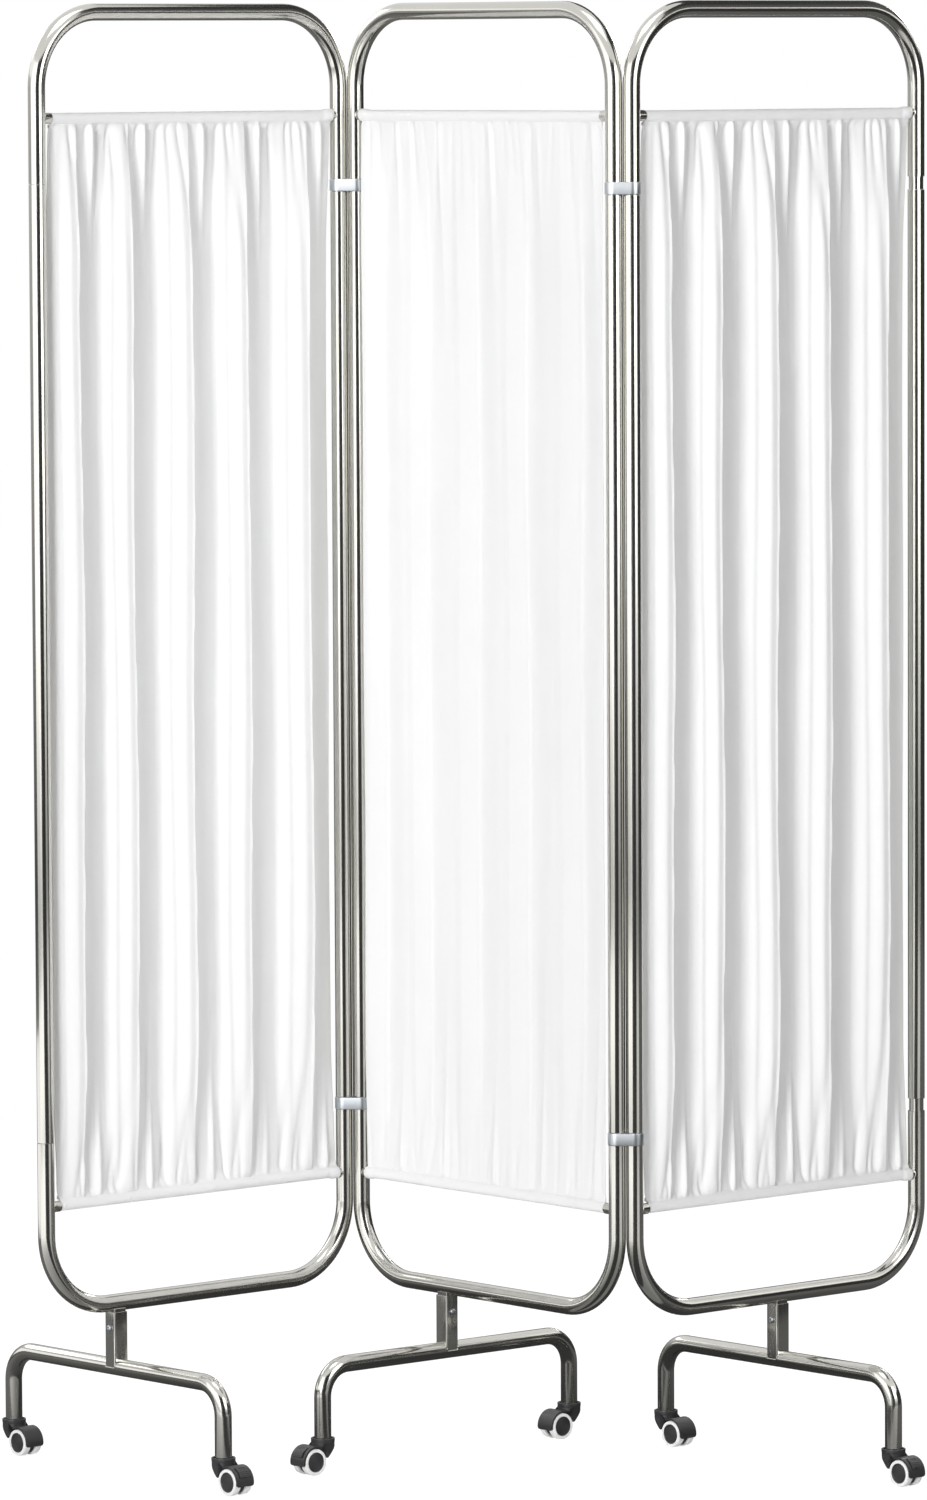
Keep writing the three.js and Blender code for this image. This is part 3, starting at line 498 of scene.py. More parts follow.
class Shell:
    """Grids that together make one mesh. They are welded where they meet."""

    def __init__(self):
        self.points, self.uvs, self.quads, self.count = [], [], [], 0

    def add(self, points, uv, keep=None):
        """A grid of points with its flat coordinates. Cells where keep is false are left open."""
        rows, columns = points.shape[:2]
        index = self.count + np.arange(rows * columns).reshape(rows, columns)
        self.points.append(points.reshape(-1, 3))
        self.uvs.append(np.broadcast_to(uv, (rows, columns, 2)).reshape(-1, 2))
        self.count += rows * columns
        quads = cells(index)
        self.quads.append(quads.reshape(-1, 4) if keep is None else quads[keep])
        return index

    def slab(self, low, high, uv, keep=None):
        """Two matching grids, closed by walls round their edge and round each opening."""
        rows, columns = low.shape[:2]
        keep = np.ones((rows - 1, columns - 1), bool) if keep is None else keep
        below, above = self.add(low, uv, keep), self.add(high, uv, keep)
        ringed = np.pad(keep, 1)
        across = ringed[:-1, 1:-1] != ringed[1:, 1:-1]
        down = ringed[1:-1, :-1] != ringed[1:-1, 1:]
        walls = np.stack([below[:, :-1], below[:, 1:], above[:, 1:], above[:, :-1]], -1)[across]
        self.quads.append(walls)
        walls = np.stack([below[:-1], below[1:], above[1:], above[:-1]], -1)[down]
        self.quads.append(walls)

    def turned(self, profile, matrix, sides=32):
        """Profile carried round an axis: (radius cos a, radius sin a, height)."""
        radius, height = np.asarray(profile, float).T[:, :, None]
        angle = np.linspace(0, 2 * math.pi, sides + 1)
        points = grid(radius * np.cos(angle), radius * np.sin(angle), height)
        along = run(np.asarray(profile))[:, None]
        self.add(place(points, matrix), grid(angle * radius.max(), along))

    def tube(self, line, tangents, side, outer, inner, matrix, sides=32):
        """Hollow tube: at each place of the line a circle of the outer radius in the plane across
        the line, and the inner one on the way back."""
        across = np.cross(side, tangents)
        radius = looped(np.repeat([outer, inner], len(line)))[:, None, None]
        line, across = (looped(np.concatenate([part, part[::-1]])) for part in (line, across))
        angle = np.linspace(0, 2 * math.pi, sides + 1)[None, :, None]
        facing = across[:, None] * np.cos(angle) + np.asarray(side) * np.sin(angle)
        points = line[:, None] + radius * facing
        self.add(place(points, matrix), grid(angle[..., 0] * outer, run(line)[:, None]))

    def bead(self, line, outward, radius, matrix):
        """Weld bead along a closed line: a circle of a radius that swells once a pitch, in the plane
        of the outward direction and the one across it."""
        tangent = np.roll(line, -1, 0) - np.roll(line, 1, 0)
        tangent /= np.linalg.norm(tangent, axis=1)[:, None]
        second = np.cross(tangent, outward)
        line, outward, second = map(looped, (line, outward, second))
        along = run(line)
        swell = radius * (1 + BEAD_SWELL * np.cos(2 * math.pi * along / BEAD_PITCH))[:, None, None]
        angle = np.linspace(0, 2 * math.pi, 9)[None, :, None]
        facing = outward[:, None] * np.cos(angle) + second[:, None] * np.sin(angle)
        points = line[:, None] + swell * facing
        self.add(place(points, matrix), grid(along[:, None], angle[..., 0] * radius))

    def finish(self, name, material, body, slot, nodes=(), sharp=32.0, closed=True):
        """The mesh as a piece that rides on a body and may stand for CAD nodes."""
        points, uvs, quads = (np.concatenate(part) for part in (self.points, self.uvs, self.quads))
        mesh = bpy.data.meshes.new(name)
        mesh.from_pydata(points.tolist(), [], quads.tolist())
        layer = mesh.uv_layers.new(name="flat")
        layer.uv.foreach_set("vector", uvs[quads.ravel()].astype(np.float32).ravel())
        if closed:
            weld(mesh)
        mesh.polygons.foreach_set("use_smooth", np.ones(len(mesh.polygons), bool))
        mesh.set_sharp_from_angle(angle=math.radians(sharp))
        mesh.materials.append(material)
        piece = bpy.data.objects.new(name, mesh)
        bpy.context.collection.objects.link(piece)
        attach(piece, body)
        if nodes:
            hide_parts(*nodes)
        return piece


def weld(mesh):
    """Joins the grids' shared points and turns every face outwards."""
    work = bmesh.new()
    work.from_mesh(mesh)
    bmesh.ops.remove_doubles(work, verts=work.verts, dist=3e-6)
    bmesh.ops.recalc_face_normals(work, faces=work.faces)
    work.to_mesh(mesh)
    work.free()


def rounded_edges(piece, width, segments=2):
    """A live bevel on the edges that turn by more than 38 degrees."""
    bevel = piece.modifiers.new("edges", "BEVEL")
    bevel.width, bevel.segments, bevel.limit_method = width, segments, "ANGLE"
    bevel.angle_limit = math.radians(38)
    bevel.use_clamp_overlap = True
    bevel.harden_normals = False


# Materials


class Recipe:
    """A material's node tree, with short ways to add nodes."""

    def __init__(self, name):
        self.material = bpy.data.materials.new(name)
        self.material.use_nodes = True
        self.nodes, self.links = self.material.node_tree.nodes, self.material.node_tree.links
        self.shader = self.nodes["Principled BSDF"]
        self.coordinates = self.nodes.new("ShaderNodeTexCoord")

    def node(self, kind, **values):
        """A new node with its settings."""
        made = self.nodes.new(kind)
        for key, value in values.items():
            setattr(made, key, value)
        return made

    def stretched(self, scale=(1.0, 1.0, 1.0), source="UV"):
        """Coordinates times a scale."""
        mapping = self.node("ShaderNodeMapping")
        mapping.inputs["Scale"].default_value = scale
        self.links.new(self.coordinates.outputs[source], mapping.inputs["Vector"])
        return mapping.outputs["Vector"]

    def noise(self, vector, scale, detail=2.0, roughness=0.5):
        """Noise over some coordinates."""
        made = self.node("ShaderNodeTexNoise")
        made.inputs["Scale"].default_value = scale
        made.inputs["Detail"].default_value = detail
        made.inputs["Roughness"].default_value = roughness
        self.links.new(vector, made.inputs["Vector"])
        return made.outputs["Fac"]

    def spread(self, value, low, high, source_low=0.3, source_high=0.7):
        """A value mapped from one range to another."""
        made = self.node("ShaderNodeMapRange")
        ends = {"From Min": source_low, "From Max": source_high, "To Min": low, "To Max": high}
        for key, end in ends.items():
            made.inputs[key].default_value = end
        self.links.new(value, made.inputs["Value"])
        return made.outputs["Result"]

    def tint(self, value, dark, pale):
        """Colour between two by a value."""
        made = self.node("ShaderNodeMix", data_type="RGBA")
        made.inputs["A"].default_value = dark
        made.inputs["B"].default_value = pale
        self.links.new(value, made.inputs["Factor"])
        return made.outputs["Result"]

    def calc(self, operation, first, second):
        """Sum, product or other of two values."""
        made = self.node("ShaderNodeMath", operation=operation)
        for socket, value in zip(made.inputs, (first, second)):
            if isinstance(value, (int, float)):
                socket.default_value = value
            else:
                self.links.new(value, socket)
        return made.outputs["Value"]

    def bump(self, height, distance, strength=1.0):
        """Fine relief from a height."""
        made = self.node("ShaderNodeBump")
        made.inputs["Distance"].default_value = distance
        made.inputs["Strength"].default_value = strength
        self.links.new(height, made.inputs["Height"])
        self.links.new(made.outputs["Normal"], self.shader.inputs["Normal"])

    def into(self, socket, value):
        """A value led to one of the shader's sockets."""
        self.links.new(value, self.shader.inputs[socket])

    def fixed(self, **values):
        """Constants set on the shader's own sockets."""
        for key, value in values.items():
            self.shader.inputs[key.replace("_", " ")].default_value = value


def shade(rgba, factor):
    """A colour times a factor."""
    return (*(min(1.0, channel * factor) for channel in rgba[:3]), 1.0)


def metal(name, rgba, roughness, source="UV"):
    """Polished metal: fine polishing lines along the piece, and faint smudges in its gloss."""
    recipe = Recipe(name)
    recipe.fixed(Metallic=1.0)
    lines = recipe.noise(recipe.stretched((1400.0, 9.0, 1400.0), source), 1.0, 3.0)
    smudges = recipe.noise(recipe.stretched(source="Object"), 22.0, 1.5)
    recipe.into("Base Color", recipe.tint(smudges, shade(rgba, 0.97), shade(rgba, 1.03)))
    halves = (recipe.calc("MULTIPLY", part, 0.5) for part in (lines, smudges))
    mixed = recipe.calc("ADD", *halves)
    recipe.into("Roughness", recipe.spread(mixed, roughness * 0.93, roughness * 1.1))
    recipe.bump(lines, 0.00002, 0.02)
    return recipe.material


def woven(name, rgba, pitch):
    """Plain weave: two sets of threads cross at a pitch and bulge in turn, with slubs in the yarn."""
    recipe = Recipe(name)
    recipe.fixed(Sheen_Weight=0.12, Sheen_Roughness=0.4, Specular_IOR_Level=0.25)
    threads = []
    for direction in ("X", "Y"):
        wave = recipe.node("ShaderNodeTexWave", wave_type="BANDS", bands_direction=direction)
        wave.inputs["Scale"].default_value = 1.0
        wave.inputs["Distortion"].default_value = 0.6
        wave.inputs["Detail Scale"].default_value = 0.5
        scale = math.pi / (10 * pitch)
        recipe.links.new(recipe.stretched((scale, scale, 1.0)), wave.inputs["Vector"])
        threads.append(wave.outputs["Fac"])
    cloth = recipe.calc("MAXIMUM", threads[0], threads[1])
    slubs = recipe.noise(recipe.stretched((900.0, 60.0, 1.0)), 1.0, 3.0)
    soft = recipe.noise(recipe.stretched(), 14.0, 3.0)
    recipe.into("Base Color", recipe.tint(soft, shade(rgba, 0.985), shade(rgba, 1.01)))
    recipe.into("Roughness", recipe.spread(slubs, 0.82, 0.95))
    recipe.bump(recipe.calc("ADD", cloth, recipe.calc("MULTIPLY", slubs, 0.6)), pitch * 0.12, 0.5)
    return recipe.material


def moulded(name, rgba, roughness, grain=0.00004):
    """Moulded plastic or rubber: fine spark grain, and scuffs that vary its gloss and colour."""
    recipe = Recipe(name)
    fine = recipe.noise(recipe.stretched(source="Object"), 2600.0, 2.0)
    scuffs = recipe.noise(recipe.stretched(source="Object"), 160.0, 4.0, 0.6)
    recipe.into("Base Color", recipe.tint(scuffs, shade(rgba, 0.88), shade(rgba, 1.15)))
    recipe.into("Roughness", recipe.spread(scuffs, roughness * 0.85, roughness * 1.15))
    recipe.bump(fine, grain, 0.5)
    return recipe.material


def finish_of(kind):
    """One of the screen's finishes, made once."""
    name = f"ward_{kind}"
    if name in bpy.data.materials:
        return bpy.data.materials[name]
    look = settings().finish
    make, *values = {
        "steel": (metal, look.steel, 0.13),
        "plated": (metal, look.plated, 0.34),
        "plated_solid": (metal, look.plated, 0.25, "Object"),
        "cloth": (woven, look.cloth, settings().curtain.weave_pitch),
        "thread": (moulded, look.thread, 0.7),
        "plastic": (moulded, look.plastic, 0.42),
        "tread": (moulded, look.tread, 0.5, 0.00002),
    }[kind]
    return make(name, *values)


# Panel frames


def neck_gap(panel, side):
    """Room between a side tube's shoulders and its bows: a neck, or a plain fit on the outer left."""
    tube = settings().tube
    return tube.fit_gap if (panel, side) == ("left", "left") else tube.neck


def cup(shell, matrix):
    """Rod cup: a short bored cylinder on a tube, with a weld bead where the two cross."""
    tube = settings().tube
    radius, end = tube.cup_diameter / 2, tube.diameter / 2 + tube.cup_reach
    bore, seat = tube.rod_diameter / 2 + tube.fit_gap, end - tube.cup_bore
    start = math.sqrt((tube.diameter / 2) ** 2 - radius**2) - tube.wall / 2
    corners = [(0, start), (radius, start), (radius, end), (bore, end), (bore, seat), (0, seat)]
    shell.turned(rounded(corners, [0, 0.0008, 0.0004, 0]), matrix, 28)
    angle = np.linspace(0, 2 * math.pi, 49)[:-1]
    y, z = radius * np.cos(angle), radius * np.sin(angle)
    outward = grid(y / radius, z / radius, 0.0)
    line = grid(y, z, np.sqrt((tube.diameter / 2) ** 2 - y**2))
    shell.bead(line, outward, tube.bead * CUP_BEAD, matrix)


def bow(shell, rail, end, rod, width, matrix):
    """Bow: a tube from one end up to the rail, along it and back down, with a cup on each leg."""
    tube = settings().tube
    corners = [(0, 0, end), (0, 0, rail), (width, 0, rail), (width, 0, end)]
    line, tangents = bent_line(corners, tube.bend_radius, 20)
    radius = tube.diameter / 2
    shell.tube(line, tangents, (0, 1, 0), radius, radius - tube.wall, matrix, 40)
    cup(shell, matrix @ shift(0, 0, rod) @ TO_X)
    cup(shell, matrix @ shift(width, 0, rod) @ AGAINST_X)


def box_contour(long, wide, corner, steps=6):
    """Round-cornered rectangle as a closed line, and the outward direction at each of its points."""
    quarter = np.linspace(0, math.pi / 2, steps + 1)
    starts = (0, math.pi / 2, math.pi, 1.5 * math.pi)
    signs = ((1, 1), (-1, 1), (-1, -1), (1, -1))
    line, outward = [], []
    for start, (side_x, side_y) in zip(starts, signs):
        facing = grid(np.cos(start + quarter), np.sin(start + quarter))
        middle = np.array([side_x * (long / 2 - corner), side_y * (wide / 2 - corner)])
        line.append(middle + corner * facing)
        outward.append(facing)
    return np.concatenate(line), np.concatenate(outward)


def box_tube(shell, long, wide, corner, wall, low, high, matrix):
    """Square tube: its round-cornered outline carried up the wall, over the rim and down inside."""
    line, outward = box_contour(long, wide, corner)
    rim = wall / 4
    profile = rounded([(0, low), (0, high), (wall, high), (wall, low), (0, low)], [rim, rim, 0], 3)
    line, outward = looped(line), looped(outward)
    inset, height = profile.T[:, :, None]
    points = grid(line[:, 0] - outward[:, 0] * inset, line[:, 1] - outward[:, 1] * inset, height)
    shell.add(place(points, matrix), grid(run(line), run(profile)[:, None]))


def saddle_bead(shell, long, wide, corner, tube_radius, height, along_x, up, radius, matrix):
    """Bead where a square tube meets a round one: the outline lifted onto the round tube's surface."""
    line, outward = box_contour(long, wide, corner, 8)
    off = line[:, 1] if along_x else line[:, 0]
    rise = np.sqrt(np.maximum(tube_radius**2 - off**2, 0))
    points, facing = looped(grid(*line.T, height + up * rise)), looped(outward)
    # Points are spread evenly so that the bead's ripples are alike all round
    along = run(points)
    even = np.linspace(0, along[-1], 181)[:-1]
    points = grid(*(np.interp(even, along, part) for part in points.T))
    facing = grid(*(np.interp(even, along, part) for part in facing.T), 0.0)
    facing /= np.linalg.norm(facing, axis=1)[:, None]
    shell.bead(points, facing, radius, matrix)


def make_frame(panel):
    """Bows, side tubes and rods of one panel."""
    tube, leg = settings().tube, settings().leg
    matrix, width = panel_place(panel)
    body, steel = f"{panel}_panel", finish_of("steel")
    radius, bore = tube.diameter / 2, tube.diameter / 2 - tube.wall
    upper_end, lower_end = tube.top_rail - tube.bow_leg, tube.bottom_rail + tube.bow_leg
    rods = {"upper": tube.top_rail - tube.rod_inset, "lower": tube.bottom_rail + tube.rod_inset}

    shell = Shell()
    bow(shell, tube.top_rail, upper_end, rods["upper"], width, matrix)
    shell.finish(f"{panel}_upper_bow_tube", steel, body, "satin_steel", [f"{panel}_upper_bow"])

    shell = Shell()
    bow(shell, tube.bottom_rail, lower_end, rods["lower"], width, matrix)
    stub = leg_place(panel)
    play = leg.socket_wall + tube.fit_gap
    sizes = (leg.socket_long - 2 * play, leg.socket_wide - 2 * play, STUB_CORNER)
    box_tube(shell, *sizes, leg.socket_wall, leg.stub_bottom, tube.bottom_rail, stub)
    saddle_bead(shell, *sizes, radius, tube.bottom_rail, True, -1, tube.bead * STUB_BEAD, stub)
    shell.finish(f"{panel}_lower_bow_tube", steel, body, "satin_steel", [f"{panel}_lower_bow"])

    swage, step = bore - tube.fit_gap, tube.wall
    swage_bore = swage - step
    low_end, high_end = lower_end - tube.swage_depth, upper_end + tube.swage_depth
    for side, along in (("left", 0.0), ("right", width)):
        gap = neck_gap(panel, side)
        low, high = lower_end + gap, upper_end - gap
        corners = [
            (swage, low_end), (swage, low), (radius, low), (radius, high), (swage, high),
            (swage, high_end), (swage_bore, high_end), (swage_bore, high - step),
            (bore, high - 2 * step), (bore, low + 2 * step), (swage_bore, low + step),
            (swage_bore, low_end), (swage, low_end),
        ]
        radii = [0, tube.shoulder, tube.shoulder] + [0] * 8
        shell = Shell()
        shell.turned(rounded(corners, radii), matrix @ shift(along), 40)
        name = f"{panel}_{side}_side_tube"
        shell.finish(f"{name}_fine", steel, body, "satin_steel", [name])

    seat, rod = radius + tube.cup_reach - tube.cup_bore + tube.fit_gap, tube.rod_diameter / 2
    for level, height in rods.items():
        corners = [(0, seat), (rod, seat), (rod, width - seat), (0, width - seat)]
        shell = Shell()
        shell.turned(rounded(corners, [0.0004, 0.0004]), matrix @ shift(0, 0, height) @ TO_X, 24)
        name = f"{panel}_{level}_curtain_rod"
        shell.finish(f"{name}_fine", steel, body, "satin_steel", [name])


def make_clip(side, level):
    """Double-ring clip: two rings side by side in a flat oval. Each half is a wall round its half of
    the oval, plates that join it to the bore's circle, and the bore. The halves meet in the middle."""
    tube = settings().tube
    half = (tube.diameter + POST_CLEARANCE) / 2
    bore = tube.diameter / 2 - tube.wall
    outer, edge = bore + tube.clip_wall, tube.clip_edge
    node = f"{side}_{level}_hinge_clip"
    low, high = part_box(node)
    matrix, tall = shift(*centre(node), low[2]), high[2] - low[2]
    quarter = np.linspace(-math.pi / 2, math.pi / 2, 33)
    flat = np.linspace(0, half, 9)[:-1]

    def contour(inset):
        """Half of the oval from the middle plane round to the middle plane, drawn in by an inset."""
        reach = outer - inset
        x = np.concatenate([flat, half + reach * np.cos(quarter), flat[::-1]])
        y = np.concatenate([0 * flat - reach, reach * np.sin(quarter), 0 * flat + reach])
        return grid(x, y)

    share = np.linspace(0, math.pi / 2, 5)
    lower = grid(edge * (1 - np.sin(share)), edge * (1 - np.cos(share)))
    upper = grid(lower[::-1, 0], tall - lower[::-1, 1])
    shell = Shell()
    for mirror in (1.0, -1.0):
        turn = matrix @ basis((mirror, 0, 0), (0, 1, 0), (0, 0, 1))
        levels = np.vstack([lower, upper])
        wall = np.stack([grid(*contour(inset).T, height) for inset, height in levels])
        shell.add(place(wall, turn), grid(run(wall[len(lower)]), wall[:, :, 2]))
        rim = contour(edge)
        back = grid(0.0, np.linspace(rim[-1, 1], rim[0, 1], 17))[1:]
        rim = np.concatenate([rim, back])
        angle = np.arctan2(rim[:, 1], rim[:, 0] - half)
        circle = grid(half + bore * np.cos(angle), bore * np.sin(angle))
        for height in (0.0, tall):
            plate = np.stack([grid(*line.T, height) for line in (rim, circle)])
            shell.add(place(plate, turn), plate[..., :2])
        lining = np.stack([grid(*circle.T, height) for height in (0.0, tall)])
        shell.add(place(lining, turn), grid(np.unwrap(angle) * bore, lining[:, :, 2]))
    shell.finish(f"{node}_fine", finish_of("plated"), f"{side}_clips", "bright_plating", [node])


# Curtains


def fold_curve(share, places, heights):
    """Height of one fold at a share of its width: smooth steps between named places."""
    place_array, height_array = np.array(places), np.array(heights)
    cell = np.clip(np.searchsorted(place_array, share, side="right") - 1, 0, len(places) - 2)
    start, end = place_array[cell], place_array[cell + 1]
    within = smooth((share - start) / (end - start))
    return height_array[cell] * (1 - within) + height_array[cell + 1] * within


def folds(across, soft):
    """Deep folds over the whole width: each runs from one sharp edge to the next."""
    edges = np.array(FOLD_EDGES)
    fold = np.clip(np.searchsorted(edges, across, side="right") - 1, 0, len(edges) - 2)
    share = (across - edges[fold]) / (edges[fold + 1] - edges[fold])
    crisp = fold_curve(share, FOLD_PLACES, FOLD_HEIGHTS)
    gentle = fold_curve(share, SOFT_PLACES, SOFT_HEIGHTS)
    return crisp * (1 - soft) + gentle * soft


def gathers(across, below, width, seed):
    """Small gathers at a seam, at a distance from it: sharp valleys that each lean, widen and fade
    on their own run, and a ridge that splits each deep fold in two."""
    random = np.random.default_rng(seed)
    places = (np.arange(GATHERS) + 0.5) / GATHERS
    places += random.uniform(-GATHER_STRAY, GATHER_STRAY, GATHERS)
    depths = random.uniform(*GATHER_DEPTH, GATHERS)
    runs = random.choice(GATHER_RUNS, GATHERS) * random.uniform(*GATHER_RUN_FACTOR, GATHERS)
    leans, widths = (random.uniform(*span, GATHERS) for span in (GATHER_LEAN, GATHER_WIDTH))
    small = np.stack([places, depths, runs, leans, widths], -1)
    long = np.array([(*crease, CREASE_WIDTH) for crease in LONG_CREASES])
    height = np.zeros(np.broadcast(across, below).shape)
    for spot, depth, fade, lean, half in np.concatenate([small, long]):
        off = (across - spot) * width - lean * below
        spread = half * (1 + below / WIDENING_RUN)
        height -= depth * np.exp(-((off / spread) ** 2)) * np.exp(-((below / fade) ** 1.3))
    for edge in FOLD_EDGES[1:-1]:
        off = (across - edge) * width - RIDGE_BACK + random.uniform(-RIDGE_STRAY, RIDGE_STRAY)
        off = off - RIDGE_LEAN * (below / RIDGE_LEAN_RUN)
        fade = random.uniform(*RIDGE_RUN)
        bell = RIDGE_HEIGHT * np.exp(-((off / RIDGE_WIDTH) ** 2))
        height += bell * np.exp(-((below / fade) ** 1.5))
    return height


def curtain_grid(depth, soft, seed, ends):
    """A curtain in its panel's frame, from the hem turn behind the upper seam, round the upper rod,
    down the drop, and round the lower rod to the other hem turn. Across it, columns are even. Ends
    are the gaps beside it."""
    cloth, tube = settings().curtain, settings().tube
    top, bottom = tube.top_rail - tube.rod_inset, tube.bottom_rail + tube.rod_inset
    upper_seam, lower_seam = top - cloth.seam_drop, bottom + cloth.seam_drop
    across = np.linspace(0, 1, cloth.columns + 1)[None, :]
    _, panel_width = panel_place("middle")
    width = panel_width - sum(ends)

    crowded = (1 - np.cos(np.linspace(0, math.pi, cloth.rows + 1))) / 2
    share = (1 - EVEN_ROWS) * crowded + EVEN_ROWS * np.linspace(0, 1, cloth.rows + 1)
    height = (upper_seam + (lower_seam - upper_seam) * share)[:, None]
    from_top, from_bottom = upper_seam - height, height - lower_seam
    from_seam = np.minimum(from_top, from_bottom)
    opening = SEAM_OPENING + (1 - SEAM_OPENING) * smooth(from_seam, 0, cloth.gather_run)
    sway = SWAY * np.sin(2 * math.pi * (1.1 * height + 1.7 * across) + seed)
    sway = sway * smooth(from_seam, 0, SWAY_RUN)
    forward = depth * (folds(across + sway, soft) - 0.5) * opening
    upper = gathers(across, from_top, width, seed)
    lower = gathers(across, from_bottom, width, seed + LOWER_SEED)
    forward += cloth.gather_depth * (1 - 0.75 * soft) * (upper + lower)
    forward += RIPPLE * np.sin(2 * math.pi * (2.3 * across + 1.9 * height) + 2 * seed)
    free = smooth(from_seam, 0, SEAM_RUN)
    forward = forward * (SEAM_SHARE + (1 - SEAM_SHARE) * free) + SEAM_FORWARD * (1 - free)
    drop = grid(ends[0] + width * across, -forward, height)

    turn = np.linspace(-math.pi, math.pi, 25)[:, None]
    low = ((1 - np.cos(turn)) / 2) ** 3
    first, last = (cloth.sleeve_end if end == max(ends) else end for end in ends)
    along = first + (panel_width - first - last) * across
    far_off = along - first if ends[0] < ends[1] else panel_width - last - along
    flare = 1 - smooth(far_off, *FLARE_REACH)

    def sleeve(rod_height, up, pucker):
        """Sleeve round a rod: a circle that is drawn out to the seam and flares over the far cup, with
        the gathers' puckers."""
        radius = cloth.sleeve_radius + PUCKER * pucker * smooth(np.abs(turn), *PUCKER_ANGLES)
        radius = radius + cloth.sleeve_flare * flare * (1 - low)
        back = -radius * np.sin(turn) * (1 - 0.35 * low * (1 - flare))
        off = radius * np.cos(turn) - (cloth.seam_drop - cloth.sleeve_radius) * low
        return grid(along, back + 0.0003 * np.cos(turn / 2), rod_height + up * off)

    upper_sleeve = sleeve(top, 1, gathers(across, 0 * across, width, seed))
    lower_sleeve = sleeve(bottom, -1, gathers(across, 0 * across, width, seed + LOWER_SEED))[::-1]
    # The drop's columns start below the sleeve's own and ease over to their own places
    ease = smooth(from_top, 0, 0.010) * smooth(from_bottom, 0, 0.010)
    drop[..., 0] = upper_sleeve[-1:, :, 0] * (1 - ease) + drop[..., 0] * ease
    hem_share = np.linspace(1, 0.2, 4)[:, None]

    def hem(edge, way):
        """Hem turn: a short flat strip past the seam, behind the drop."""
        lies = drop[3, :, 1] if way < 0 else drop[-4, :, 1]
        behind = np.maximum(edge[:, 1], lies) + HEM_BEHIND
        return grid(edge[:, 0], behind, edge[:, 2] + way * cloth.hem_turn * hem_share)

    upper_hem, lower_hem = hem(upper_sleeve[0], -1), hem(lower_sleeve[-1], 1)[::-1]
    return np.concatenate([upper_hem, upper_sleeve, drop[1:-1], lower_sleeve, lower_hem])


def make_curtain(panel, seed):
    """Curtain of one panel as a thin sheet that a Solidify modifier gives its thickness, with the thread
    tacks that show on it.
    """
    cloth = settings().curtain
    matrix, _ = panel_place(panel)
    outer = panel != "middle"
    depth = cloth.fold_depth if outer else cloth.middle_fold_depth
    ends = (cloth.near_gap, cloth.far_gap) if outer else (cloth.far_gap, cloth.near_gap)
    points = curtain_grid(depth, 0.0 if outer else MIDDLE_SOFTNESS, seed, ends)
    # Flat coordinates are mean lengths along the surface, across and down
    over, down = (
        np.insert(np.linalg.norm(np.diff(points, axis=axis), axis=2).mean(axis=1 - axis).cumsum(), 0, 0.0)
        for axis in (1, 0)
    )
    shell = Shell()
    shell.add(place(points, matrix), grid(over, down[:, None]))
    name, body = f"{panel}_curtain", f"{panel}_panel"
    piece = shell.finish(
        f"{name}_cloth", finish_of("cloth"), body, "white_cloth", [name], sharp=70.0, closed=False
    )
    thick = piece.modifiers.new("thickness", "SOLIDIFY")
    thick.thickness, thick.offset = cloth.thickness, 0.0
    if panel in TACKS:
        level, shares = TACKS[panel]
        make_tacks(panel, level, shares, matrix)


def make_tacks(panel, level, shares, matrix):
    """Thread tacks: low round knots, half of a flattened ball each, on the front of a sleeve."""
    cloth, tube = settings().curtain, settings().tube
    rod = tube.top_rail - tube.rod_inset if level == "upper" else tube.bottom_rail + tube.rod_inset
    _, panel_width = panel_place(panel)
    reach = cloth.sleeve_radius + cloth.thickness / 2
    dome = np.linspace(0, math.pi / 2, 7)
    knot = grid(TACK_RADIUS * np.cos(dome), TACK_HEIGHT * np.sin(dome))
    profile = np.concatenate([[(0, -TACK_SINK), (TACK_RADIUS, -TACK_SINK)], knot])
    shell = Shell()
    for share in shares:
        along = cloth.sleeve_end + (panel_width - 2 * cloth.sleeve_end) * share
        shell.turned(profile, matrix @ shift(along, -reach, rod + 0.001) @ AGAINST_Y, 16)
    name = f"{panel}_{level}_sleeve_tacks"
    return shell.finish(name, finish_of("thread"), f"{panel}_panel", "white_cloth")


# Legs


def make_leg(panel):
    """Leg: an arch of tube with a square socket welded over its middle."""
    tube, leg = settings().tube, settings().leg
    matrix = leg_place(panel)
    radius, half, end, beam = tube.diameter / 2, leg.spread / 2, leg.tube_end, leg.arch_height
    corners = [(0, -half, end), (0, -half, beam), (0, half, beam), (0, half, end)]
    line, tangents = bent_line(corners, leg.bend_radius, 16)
    shell = Shell()
    shell.tube(line, tangents, (1, 0, 0), radius, radius - tube.wall, matrix, 40)
    sizes = (leg.socket_long, leg.socket_wide, leg.socket_corner)
    box_tube(shell, *sizes, leg.socket_wall, beam, leg.socket_top, matrix)
    saddle_bead(shell, *sizes, radius, beam, False, 1, tube.bead, matrix)
    body = f"{panel}_panel"
    shell.finish(f"{panel}_leg_arch", finish_of("steel"), body, "satin_steel", [f"{panel}_leg"])


